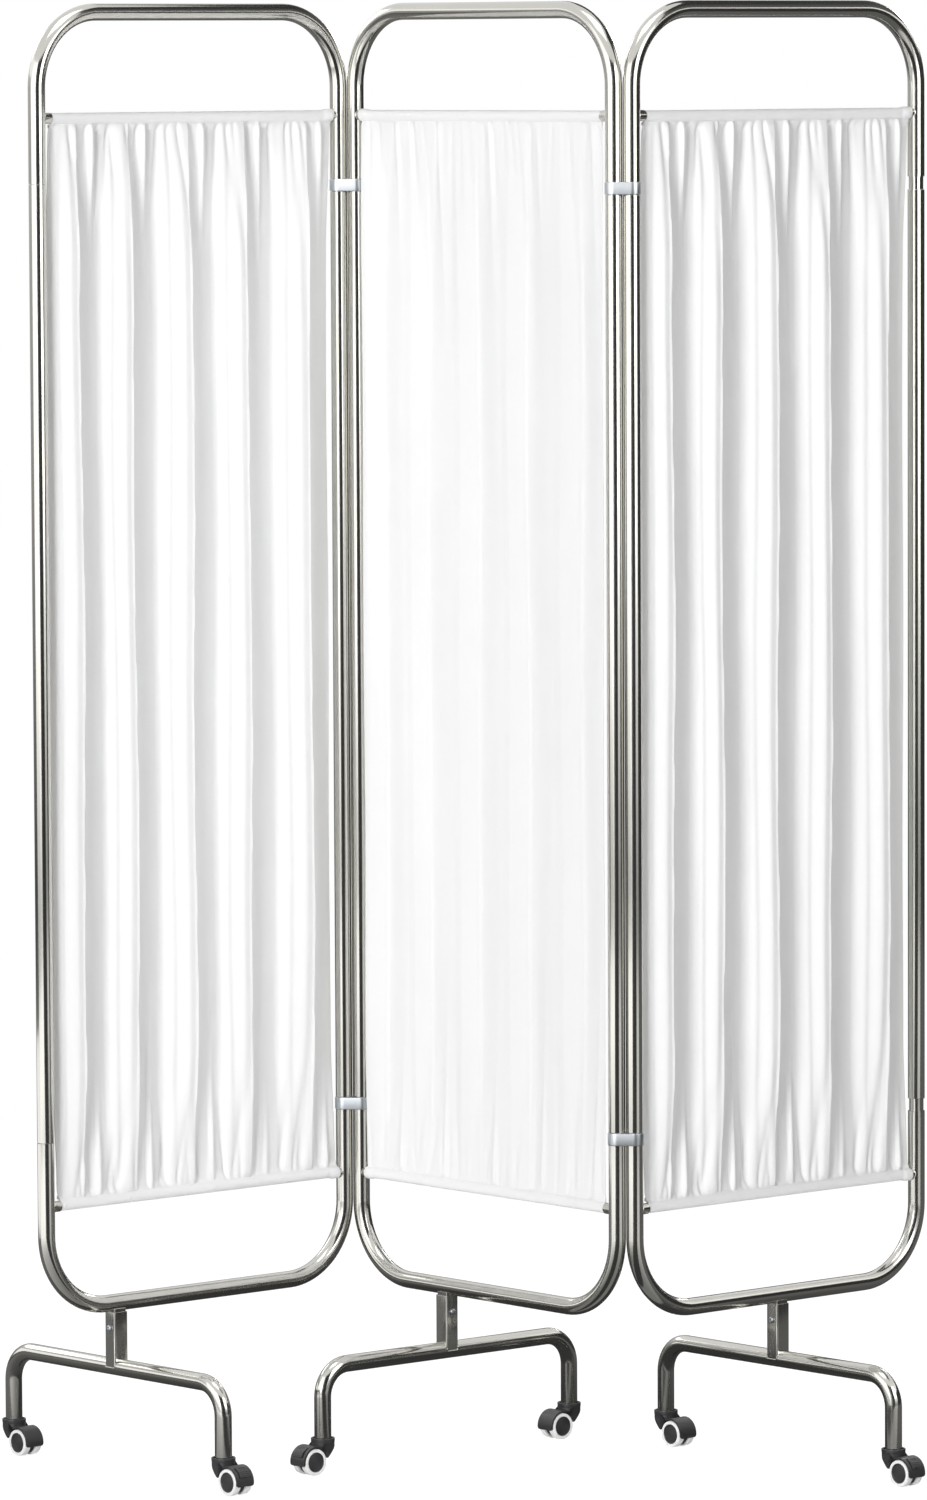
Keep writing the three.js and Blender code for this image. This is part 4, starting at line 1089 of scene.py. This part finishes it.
def make_screw(panel):
    """Clamp screw: a half section turned about the screw's axis, where the section's inner points
    keep to a hexagon: at each angle their radius times the hexagon's share of its corner circle."""
    tube, leg = settings().tube, settings().leg
    seat = leg.socket_long / 2 + tube.fit_gap
    head, crown, shank = leg.screw_head / 2, leg.screw_crown, leg.screw_shank / 2
    tip = leg.socket_long / 2 - 2 * leg.socket_wall - tube.fit_gap - SCREW_BITE
    corners = [(0, tip), (shank, tip), (shank, seat), (head, seat), (head, seat + crown * CROWN_SIDE)]
    outside = rounded(corners, [0.0003, 0, 0.0002])
    dome = np.linspace(0, math.pi / 2, 6)[1:]
    lip = leg.screw_socket / 2
    rim = lip * HEXAGON_RIM
    rise = CROWN_SIDE + (1 - CROWN_SIDE) * np.sin(dome)
    over = grid(rim + (head - rim) * np.cos(dome), seat + crown * rise)
    inside = [(lip, CROWN_RIM), (lip, CROWN_SIDE), (0, HEXAGON_FLOOR)]
    inside = np.array([(radius, seat + crown * share) for radius, share in inside])
    profile = np.concatenate([outside, over, inside])
    hexed = np.concatenate([np.zeros(len(outside) + len(over)), [1, 1, 0]])
    angle = np.linspace(0, 2 * math.pi, 49)
    flat = math.cos(math.pi / 6) / np.cos((angle % (math.pi / 3)) - math.pi / 6)
    reach = profile[:, :1] * (1 + hexed[:, None] * (flat[None] - 1))
    points = grid(reach * np.cos(angle), reach * np.sin(angle), profile[:, 1:])
    matrix = leg_place(panel) @ shift(0, 0, leg.screw_height) @ (TO_X if panel == "middle" else AGAINST_X)
    shell = Shell()
    shell.add(place(points, matrix), grid(angle * head, run(profile)[:, None]))
    name = f"{panel}_clamp_screw"
    shell.finish(f"{name}_fine", finish_of("plated"), f"{panel}_panel", "bright_plating", [name])


# Casters


def about_axle(radius, angle):
    """Places on a circle about a caster's axle, forward and up in the caster's frame."""
    size = settings().caster
    return size.trail + radius * np.cos(angle), size.axle_height + radius * np.sin(angle)


def housing_body(shell, matrix, braked):
    """Body and hood: for each place across, a loop in side view. Inside it runs on the wheel arch's
    circle from the front tip to the rear edge; outside it sweeps up the front to the collar, over
    it, down its back and along the hood's circle. The brake's window is left open."""
    size = settings().caster
    window = size.pedal_width / 2 + PLAY
    # Columns crowd over the rounded side, and the next ones start a little further in
    side, flank = 0.003, 0.0037
    y = np.concatenate([
        -size.half_width + side * (1 - np.cos(np.linspace(0, math.pi / 2, 6))),
        np.linspace(-size.half_width + flank, -window, 3),
        np.linspace(-window, window, 13)[1:-1],
    ])
    y = np.concatenate([y, [window], -y[:8][::-1]])[None, :]
    # Columns beside the window, and rows from the body to the hood's top, to the window and in it
    beside, to_top, to_window, in_window = 7, 5, 7, 10
    reach = np.sqrt(size.body_radius**2 - np.minimum(np.abs(y), size.half_width) ** 2)
    past = np.clip((np.abs(y) - (size.half_width - size.hood_corner)) / size.hood_corner, 0, 1)
    tip, top, window_top, window_foot, rear = map(
        math.radians, (FRONT_TIP, HOOD_TOP, WINDOW_TOP, WINDOW_FOOT, HOOD_REAR))
    rear = rear + (1 - np.sqrt(1 - past**2)) * size.hood_corner / size.hood_outer
    tip_x, tip_z = about_axle(size.hood_outer, tip)
    meet = np.arccos((reach - size.trail) / size.hood_outer)
    _, meet_z = about_axle(size.hood_outer, meet)

    def steps(count):
        """Shares from nought to one down a column, without the first."""
        return np.linspace(0, 1, count + 1)[1:, None]

    share = np.linspace(0, 1, 11)[:, None]
    front_x = -reach + (tip_x + reach) * (1 - share) ** 2
    mid_z = (size.skirt + tip_z) / 2
    front_z = (1 - share) ** 2 * tip_z + 2 * share * (1 - share) * mid_z + share**2 * size.skirt + 0 * y
    into_collar = 0.0012
    body_top = size.collar_foot + into_collar
    up_z = np.linspace(size.skirt, body_top, 4)[1:, None] + 0 * y
    over, down = np.linspace(-1, 1, 9)[1:, None], steps(3)
    outer_x = [front_x, -reach + 0 * up_z, reach * over, reach + 0 * down]
    outer_z = [front_z, up_z, body_top + 0 * over + 0 * y, body_top + (meet_z - body_top) * down]
    hood = np.concatenate([
        meet + (top - meet) * steps(to_top),
        np.linspace(top, window_top, to_window + 1)[1:, None] + 0 * y,
        np.linspace(window_top, window_foot, in_window + 1)[1:, None] + 0 * y,
        window_foot + (rear - window_foot) * steps(7),
    ])
    hood_x, hood_z = about_axle(size.hood_outer, hood)
    outer_x, outer_z = np.concatenate([*outer_x, hood_x]), np.concatenate([*outer_z, hood_z])
    lead = len(outer_x) - len(hood) + to_top
    inner = np.concatenate([np.linspace(tip, top, lead)[:, None] + 0 * y, hood[to_top:]])
    inner_x, inner_z = about_axle(size.hood_inner, inner)
    outer_points, inner_points = grid(outer_x, y, outer_z), grid(inner_x, y, inner_z)
    rows, columns = outer_points.shape[:2]
    keep = np.ones((rows - 1, columns - 1), bool)
    if braked:
        first = lead + to_window - 1
        keep[first:first + in_window, beside:columns - 1 - beside] = False
    uv = grid(y, run(outer_points[:, columns // 2])[:, None])
    shell.slab(place(inner_points, matrix), place(outer_points, matrix), uv, keep)


def make_housing(name, body, matrix, braked):
    """Caster housing: swept body with its hood, a rimmed collar, the web between the wheels and the
    axle stubs."""
    size = settings().caster
    shell = Shell()
    housing_body(shell, matrix, braked)

    radius, rim = size.collar_radius, size.collar_radius - size.collar_rim
    corners = [
        (0, size.collar_foot), (radius - 0.0003, size.collar_foot), (radius, size.collar_top),
        (rim, size.collar_top), (rim, size.seat), (0, size.seat),
    ]
    shell.turned(rounded(corners, [0.0005, 0.0009, 0.0005, 0.0004]), matrix, 56)

    # The web fills the hood from its rear edge to its front tip, and is a smaller disc under the axle
    start, tip, end, step = map(math.radians, (HOOD_REAR, FRONT_TIP, HOOD_REAR + 360, 3))
    angle = np.linspace(start, end, 121)
    under = smooth(angle, tip, tip + step) * (1 - smooth(angle, end - step, end))
    into_hood = 0.0008
    reach = size.hood_inner + into_hood + (size.web_radius - size.hood_inner - into_hood) * under
    x, z = about_axle(np.linspace(0, 1, 5)[:, None] * reach[None], angle)
    sides = [grid(x, offset, z) for offset in (-size.web / 2, size.web / 2)]
    for face in sides:
        shell.add(place(face, matrix), face[..., [0, 2]])
    wall = np.stack([sides[0][-1], sides[1][-1]])
    shell.add(place(wall, matrix), wall[..., [0, 1]])

    end = size.axle_end
    corners = [(0, -end), (size.axle_radius, -end), (size.axle_radius, end), (0, end)]
    axis = matrix @ shift(size.trail, 0, size.axle_height) @ TO_Y
    shell.turned(rounded(corners, [0.0003, 0.0003]), axis, 20)
    piece = shell.finish(f"{name}_moulding", finish_of("plastic"), body, "caster_plastic", [name])
    rounded_edges(piece, size.edge)


def make_wheel(name, matrix, side):
    """Wheel and its hub cap, both turned about the axle from the web outwards."""
    size = settings().caster
    axis = matrix @ shift(size.trail, 0, size.axle_height) @ (TO_Y if side > 0 else AGAINST_Y)
    inside, outside, radius, cap = size.wheel_inside, size.half_width, size.axle_height, size.cap_radius
    bore, bore_end = size.axle_radius + PLAY, size.axle_end + PLAY
    floor, crest = outside - CAP_DEPTH, inside + (outside - inside) * 0.55
    corners = [
        (0, floor), (cap, floor), (cap, outside - 0.0002), (cap + 0.0010, outside),
        (radius - 0.0004, outside), (radius, crest), (radius - 0.0001, inside),
        (bore, inside), (bore, bore_end), (0, bore_end),
    ]
    radii = [0, 0.0003, 0.0003, size.shoulder, 0.0006, 0.0009, 0.0002, 0]
    shell = Shell()
    shell.turned(rounded(corners, radii, 5), axis, 72)
    shell.finish(f"{name}_tyre", finish_of("tread"), name, "caster_tread", [name])

    face = outside - size.cap_sink
    rings = np.linspace(FIRST_RING, LAST_RING, 65)
    grooves = RING_DEPTH * np.cos(2 * math.pi * rings / RING_PITCH)
    middle = grid(rings, face + (grooves + CAP_DOME * (1 - (rings / LAST_RING) ** 2)))
    edge = np.array([
        (0.0109, face - 0.00015), (0.0112, face + 0.00005), (cap - 0.0005, outside - 0.00015),
        (cap - 0.0003, outside - 0.0003), (cap - 0.0002, floor + 0.0002), (0, floor + 0.0001),
    ])
    profile = np.concatenate([[(0, face + 0.0001), (0.0007, face + 0.0001)], middle, edge])
    shell = Shell()
    shell.turned(profile, axis, 56)
    shell.finish(f"{name}_hub_cap", finish_of("plastic"), name, "caster_plastic")


def make_pedal(name, matrix):
    """Brake pedal: a curved plate between two circles. Its lower part is a raised tread with ribs."""
    size = settings().caster
    slack = PLAY / size.hood_inner
    low, high = math.radians(WINDOW_FOOT) + slack, math.radians(WINDOW_TOP) - slack
    angle = np.linspace(low, high, 65)[:, None]
    half = size.pedal_width / 2
    y = np.linspace(-1, 1, 13)[None, :] * half
    step = low + (high - low) * TREAD_SHARE

    def band(start, full, going, end):
        """One between two angles, with smooth ends."""
        return smooth(angle, start, full) * (1 - smooth(angle, going, end))

    ribs = RIB_HEIGHT * np.maximum(np.cos(2 * math.pi * (angle - low) / RIB_PITCH), 0)
    ribs = ribs * band(low + 0.03, low + 0.06, step - 0.08, step - 0.04) * (np.abs(y) < half - RIB_MARGIN)
    raised = (size.pedal_step - RIB_ROOM) * (1 - smooth(angle, step - 0.04, step))
    dimple = DIMPLE_DEPTH * band(step + 0.06, step + 0.10, high - 0.09, high - 0.05)
    outer = size.hood_outer + size.pedal_proud + raised + ribs - dimple * (np.abs(y) < DIMPLE_HALF)
    low_x, low_z = about_axle(size.hood_inner, angle)
    high_x, high_z = about_axle(outer, angle)
    sides = (place(grid(x, y, z), matrix) for x, z in ((low_x, low_z), (high_x, high_z)))
    shell = Shell()
    shell.slab(*sides, grid(y, angle * size.hood_outer))
    piece = shell.finish(f"{name}_moulding", finish_of("plastic"), name, "caster_plastic", [name])
    rounded_edges(piece, size.edge)


# Stage


def lamp(name, power, azimuth, distance, height, size, aim):
    """Soft rectangular lamp at a heading from the viewer's side, turned to a height over the middle."""
    data = bpy.data.lights.new(name, "AREA")
    data.shape, data.size, data.size_y, data.energy = "RECTANGLE", *size, power
    made = bpy.data.objects.new(name, data)
    bpy.context.collection.objects.link(made)
    heading = math.radians(azimuth)
    spot = np.array([math.sin(heading) * distance, -math.cos(heading) * distance, height])
    back = spot - np.array([0, 0, aim])
    back /= np.linalg.norm(back)
    side = np.cross((0, 0, 1), back)
    side /= np.linalg.norm(side)
    made.matrix_world = Matrix(basis(side, np.cross(back, side), back, spot).tolist())
    made.visible_camera = False


def stage_mesh(name, points, material, glossy_only=False):
    """A stage object from one grid."""
    rows, columns = points.shape[:2]
    index = np.arange(rows * columns).reshape(rows, columns)
    mesh = bpy.data.meshes.new(name)
    mesh.from_pydata(points.reshape(-1, 3).tolist(), [], cells(index).reshape(-1, 4).tolist())
    mesh.materials.append(material)
    made = bpy.data.objects.new(name, mesh)
    bpy.context.collection.objects.link(made)
    if glossy_only:
        made.visible_camera = made.visible_diffuse = made.visible_shadow = False
        made.visible_transmission = made.visible_volume_scatter = False
    return made


def painted_reflection_material(name, low, high, bottom, top):
    """Glow of a studio card that only reflections see, which paints a reflection: its glow goes from low
    to high between two heights.
    """
    recipe = Recipe(name)
    recipe.nodes.remove(recipe.shader)
    split = recipe.node("ShaderNodeSeparateXYZ")
    recipe.links.new(recipe.coordinates.outputs["Object"], split.inputs["Vector"])
    # The glow, a painted reflection that lights nothing, changes with height
    glow_level = recipe.spread(split.outputs["Z"], low, high, bottom, top)
    glow = recipe.node("ShaderNodeEmission")
    recipe.links.new(glow_level, glow.inputs["Strength"])
    recipe.links.new(glow.outputs["Emission"], recipe.nodes["Material Output"].inputs["Surface"])
    return recipe.material


def painted_reflection_card(name, headings, radii, heights, material):
    """Glowing card that paints reflections, on part of a circle round the screen, between two headings,
    two radii and two heights.
    """
    heading = np.radians(np.linspace(*headings, 37))[:, None]
    radius = np.array(radii)
    points = grid(radius * np.sin(heading), -radius * np.cos(heading), np.array(heights))
    stage_mesh(name, points, material, glossy_only=True)


def seen_directly(recipe):
    """One for camera, glossy and transmission rays, nought for the rest."""
    path = recipe.node("ShaderNodeLightPath")
    total = recipe.calc("ADD", path.outputs["Is Camera Ray"], path.outputs["Is Glossy Ray"])
    total = recipe.calc("ADD", total, path.outputs["Is Transmission Ray"])
    return recipe.calc("MINIMUM", total, 1.0)


def make_floor():
    """Pale round floor. Seen directly, it is lifted towards white, more so far off, and keeps the
    screen's shadow."""
    look, studio = settings().finish, settings().studio
    recipe = Recipe("ward_floor")
    cloudy = recipe.noise(recipe.stretched(source="Object"), 3.0)
    recipe.into("Base Color", recipe.tint(cloudy, shade(look.floor, 0.99), shade(look.floor, 1.01)))
    recipe.fixed(Roughness=0.9, Specular_IOR_Level=0.2)
    distance = recipe.node("ShaderNodeVectorMath", operation="LENGTH")
    recipe.links.new(recipe.coordinates.outputs["Object"], distance.inputs[0])
    lift = recipe.spread(distance.outputs["Value"], studio.floor_lift, 1.0, *FLOOR_FADE)
    factor = recipe.calc("MULTIPLY", lift, seen_directly(recipe))
    glow, mix = recipe.node("ShaderNodeEmission"), recipe.node("ShaderNodeMixShader")
    fade = recipe.spread(distance.outputs["Value"], studio.floor_glow, 1.0, *FLOOR_FADE)
    recipe.links.new(fade, glow.inputs["Strength"])
    recipe.links.new(factor, mix.inputs["Fac"])
    recipe.links.new(recipe.shader.outputs["BSDF"], mix.inputs[1])
    recipe.links.new(glow.outputs["Emission"], mix.inputs[2])
    recipe.links.new(mix.outputs["Shader"], recipe.nodes["Material Output"].inputs["Surface"])
    angle = np.linspace(0, 2 * math.pi, 97)
    radius = np.array([0.0, 1.0, 4.0, 14.0])[:, None]
    points = grid(radius * np.cos(angle), radius * np.sin(angle), -0.0002)
    weld(stage_mesh("floor", points, recipe.material).data)


def make_world():
    """White where it is seen directly or in reflections, and a plain room light for the rest."""
    scene = bpy.context.scene
    scene.world = bpy.data.worlds.new("ward_room")
    scene.world.use_nodes = True
    tree = scene.world.node_tree
    tree.nodes.clear()
    room, white = tree.nodes.new("ShaderNodeBackground"), tree.nodes.new("ShaderNodeBackground")
    room.inputs["Color"].default_value = (1, 1, 1, 1)
    room.inputs["Strength"].default_value = settings().studio.ambient
    white.inputs["Color"].default_value = (1, 1, 1, 1)
    white.inputs["Strength"].default_value = 1.0
    path, mix, end = (tree.nodes.new(kind) for kind in (
        "ShaderNodeLightPath", "ShaderNodeMixShader", "ShaderNodeOutputWorld"))
    total = path.outputs["Is Camera Ray"]
    for ray in ("Is Glossy Ray", "Is Transmission Ray"):
        add = tree.nodes.new("ShaderNodeMath")
        add.operation, add.use_clamp = "ADD", True
        tree.links.new(total, add.inputs[0])
        tree.links.new(path.outputs[ray], add.inputs[1])
        total = add.outputs["Value"]
    tree.links.new(total, mix.inputs["Fac"])
    tree.links.new(room.outputs["Background"], mix.inputs[1])
    tree.links.new(white.outputs["Background"], mix.inputs[2])
    tree.links.new(mix.outputs["Shader"], end.inputs["Surface"])


def make_camera():
    """Camera from its heading, downward tilt and roll."""
    studio = settings().studio
    yaw, tilt, roll = studio.camera_turn
    ahead = np.array([math.sin(yaw) * math.cos(tilt), math.cos(yaw) * math.cos(tilt), -math.sin(tilt)])
    right = np.array([math.cos(yaw), -math.sin(yaw), 0])
    down = np.cross(ahead, right)
    turned_right = math.cos(roll) * right + math.sin(roll) * down
    turned_down = -math.sin(roll) * right + math.cos(roll) * down
    data = bpy.data.cameras.new("camera")
    data.lens, data.sensor_width, data.sensor_fit = studio.lens, 36.0, "AUTO"
    data.clip_start, data.clip_end = 0.1, 100.0
    camera = bpy.data.objects.new("camera", data)
    bpy.context.collection.objects.link(camera)
    camera.matrix_world = Matrix(basis(turned_right, -turned_down, -ahead, studio.camera_place).tolist())
    bpy.context.scene.camera = camera


# Operators


class WARD_OT_frames(Operator):
    """Make the bows, side tubes and rods of the three panels"""

    bl_idname = "ward_screen.make_frames"
    bl_label = "Panel frames"

    def execute(self, context):
        for panel in PANELS:
            make_frame(panel)
        return {"FINISHED"}


class WARD_OT_clips(Operator):
    """Make the four double-ring clips between the panels"""

    bl_idname = "ward_screen.make_clips"
    bl_label = "Clips"

    def execute(self, context):
        for side in ("left", "right"):
            for level in ("lower", "upper"):
                make_clip(side, level)
        return {"FINISHED"}


class WARD_OT_curtains(Operator):
    """Make the three gathered curtains"""

    bl_idname = "ward_screen.make_curtains"
    bl_label = "Curtains"

    def execute(self, context):
        for panel, seed in SEEDS.items():
            make_curtain(panel, seed)
        return {"FINISHED"}


class WARD_OT_legs(Operator):
    """Make the three arched legs and their clamp screws"""

    bl_idname = "ward_screen.make_legs"
    bl_label = "Legs"

    def execute(self, context):
        for panel in PANELS:
            make_leg(panel)
            make_screw(panel)
        return {"FINISHED"}


class WARD_OT_casters(Operator):
    """Make the six casters: housings, wheels, hub caps and brake pedals"""

    bl_idname = "ward_screen.make_casters"
    bl_label = "Casters"

    def execute(self, context):
        for panel in PANELS:
            for end in ENDS:
                name, matrix = f"{panel}_{end}_caster", caster_place(panel, end)
                make_housing(f"{name}_housing", name, matrix, end == "front")
                for side, way in WHEEL_SIDES.items():
                    make_wheel(f"{name}_{side}_wheel", matrix, way)
                if end == "front":
                    make_pedal(f"{name}_brake_pedal", matrix)
                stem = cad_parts[f"{name}_stem"]
                stem.data.materials.clear()
                stem.data.materials.append(finish_of("plated_solid"))
        return {"FINISHED"}


class WARD_OT_stage(Operator):
    """Make the floor, the room, the lamps, the cards and the camera"""

    bl_idname = "ward_screen.make_stage"
    bl_label = "Stage"

    def execute(self, context):
        studio = settings().studio
        make_floor()
        make_world()
        make_camera()
        for name, placing in LAMPS.items():
            lamp(name, getattr(studio, f"{name}_power"), *placing)
        # Glowing cards that only reflections see: painted reflections, and the floor's painted shade near
        # the screen
        for name, (headings, radii, heights, glow_levels, levels) in REFLECTION_CARDS.items():
            material = painted_reflection_material(f"ward_{name}_card", *glow_levels, *levels)
            painted_reflection_card(f"{name}_card", headings, radii, heights, material)
        view = context.scene.view_settings
        view.view_transform = "Standard"
        return {"FINISHED"}


class WARD_PT_screen(Panel):
    """Lists the screen's operators and settings."""

    bl_label = "Ward screen"
    bl_idname = "WARD_PT_screen"
    bl_space_type = "VIEW_3D"
    bl_region_type = "UI"
    bl_category = "Screen"

    def draw(self, context):
        for operator in OPERATORS:
            self.layout.operator(operator.bl_idname)
        for group in ("tube", "curtain", "leg", "caster", "finish", "studio"):
            box = self.layout.box()
            held = getattr(context.scene.ward_screen, group)
            box.label(text=group.capitalize())
            for key in held.bl_rna.properties.keys():
                if key not in ("rna_type", "name"):
                    box.prop(held, key)


OPERATORS = (
    WARD_OT_frames, WARD_OT_clips, WARD_OT_curtains, WARD_OT_legs, WARD_OT_casters, WARD_OT_stage,
)
GROUPS = (TubeSizes, CurtainSizes, LegSizes, CasterSizes, Finishes, Studio, ScreenSettings)


def register():
    """Registers the settings, operators and panel."""
    for made in (*GROUPS, *OPERATORS, WARD_PT_screen):
        bpy.utils.register_class(made)
    bpy.types.Scene.ward_screen = PointerProperty(type=ScreenSettings)


def unregister():
    """Takes them all back, last one first."""
    del bpy.types.Scene.ward_screen
    for made in reversed((*GROUPS, *OPERATORS, WARD_PT_screen)):
        bpy.utils.unregister_class(made)


def main():
    """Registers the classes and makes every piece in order."""
    register()
    bpy.ops.ward_screen.make_frames()
    bpy.ops.ward_screen.make_clips()
    bpy.ops.ward_screen.make_curtains()
    bpy.ops.ward_screen.make_legs()
    bpy.ops.ward_screen.make_casters()
    bpy.ops.ward_screen.make_stage()


if __name__ == "__main__":
    main()
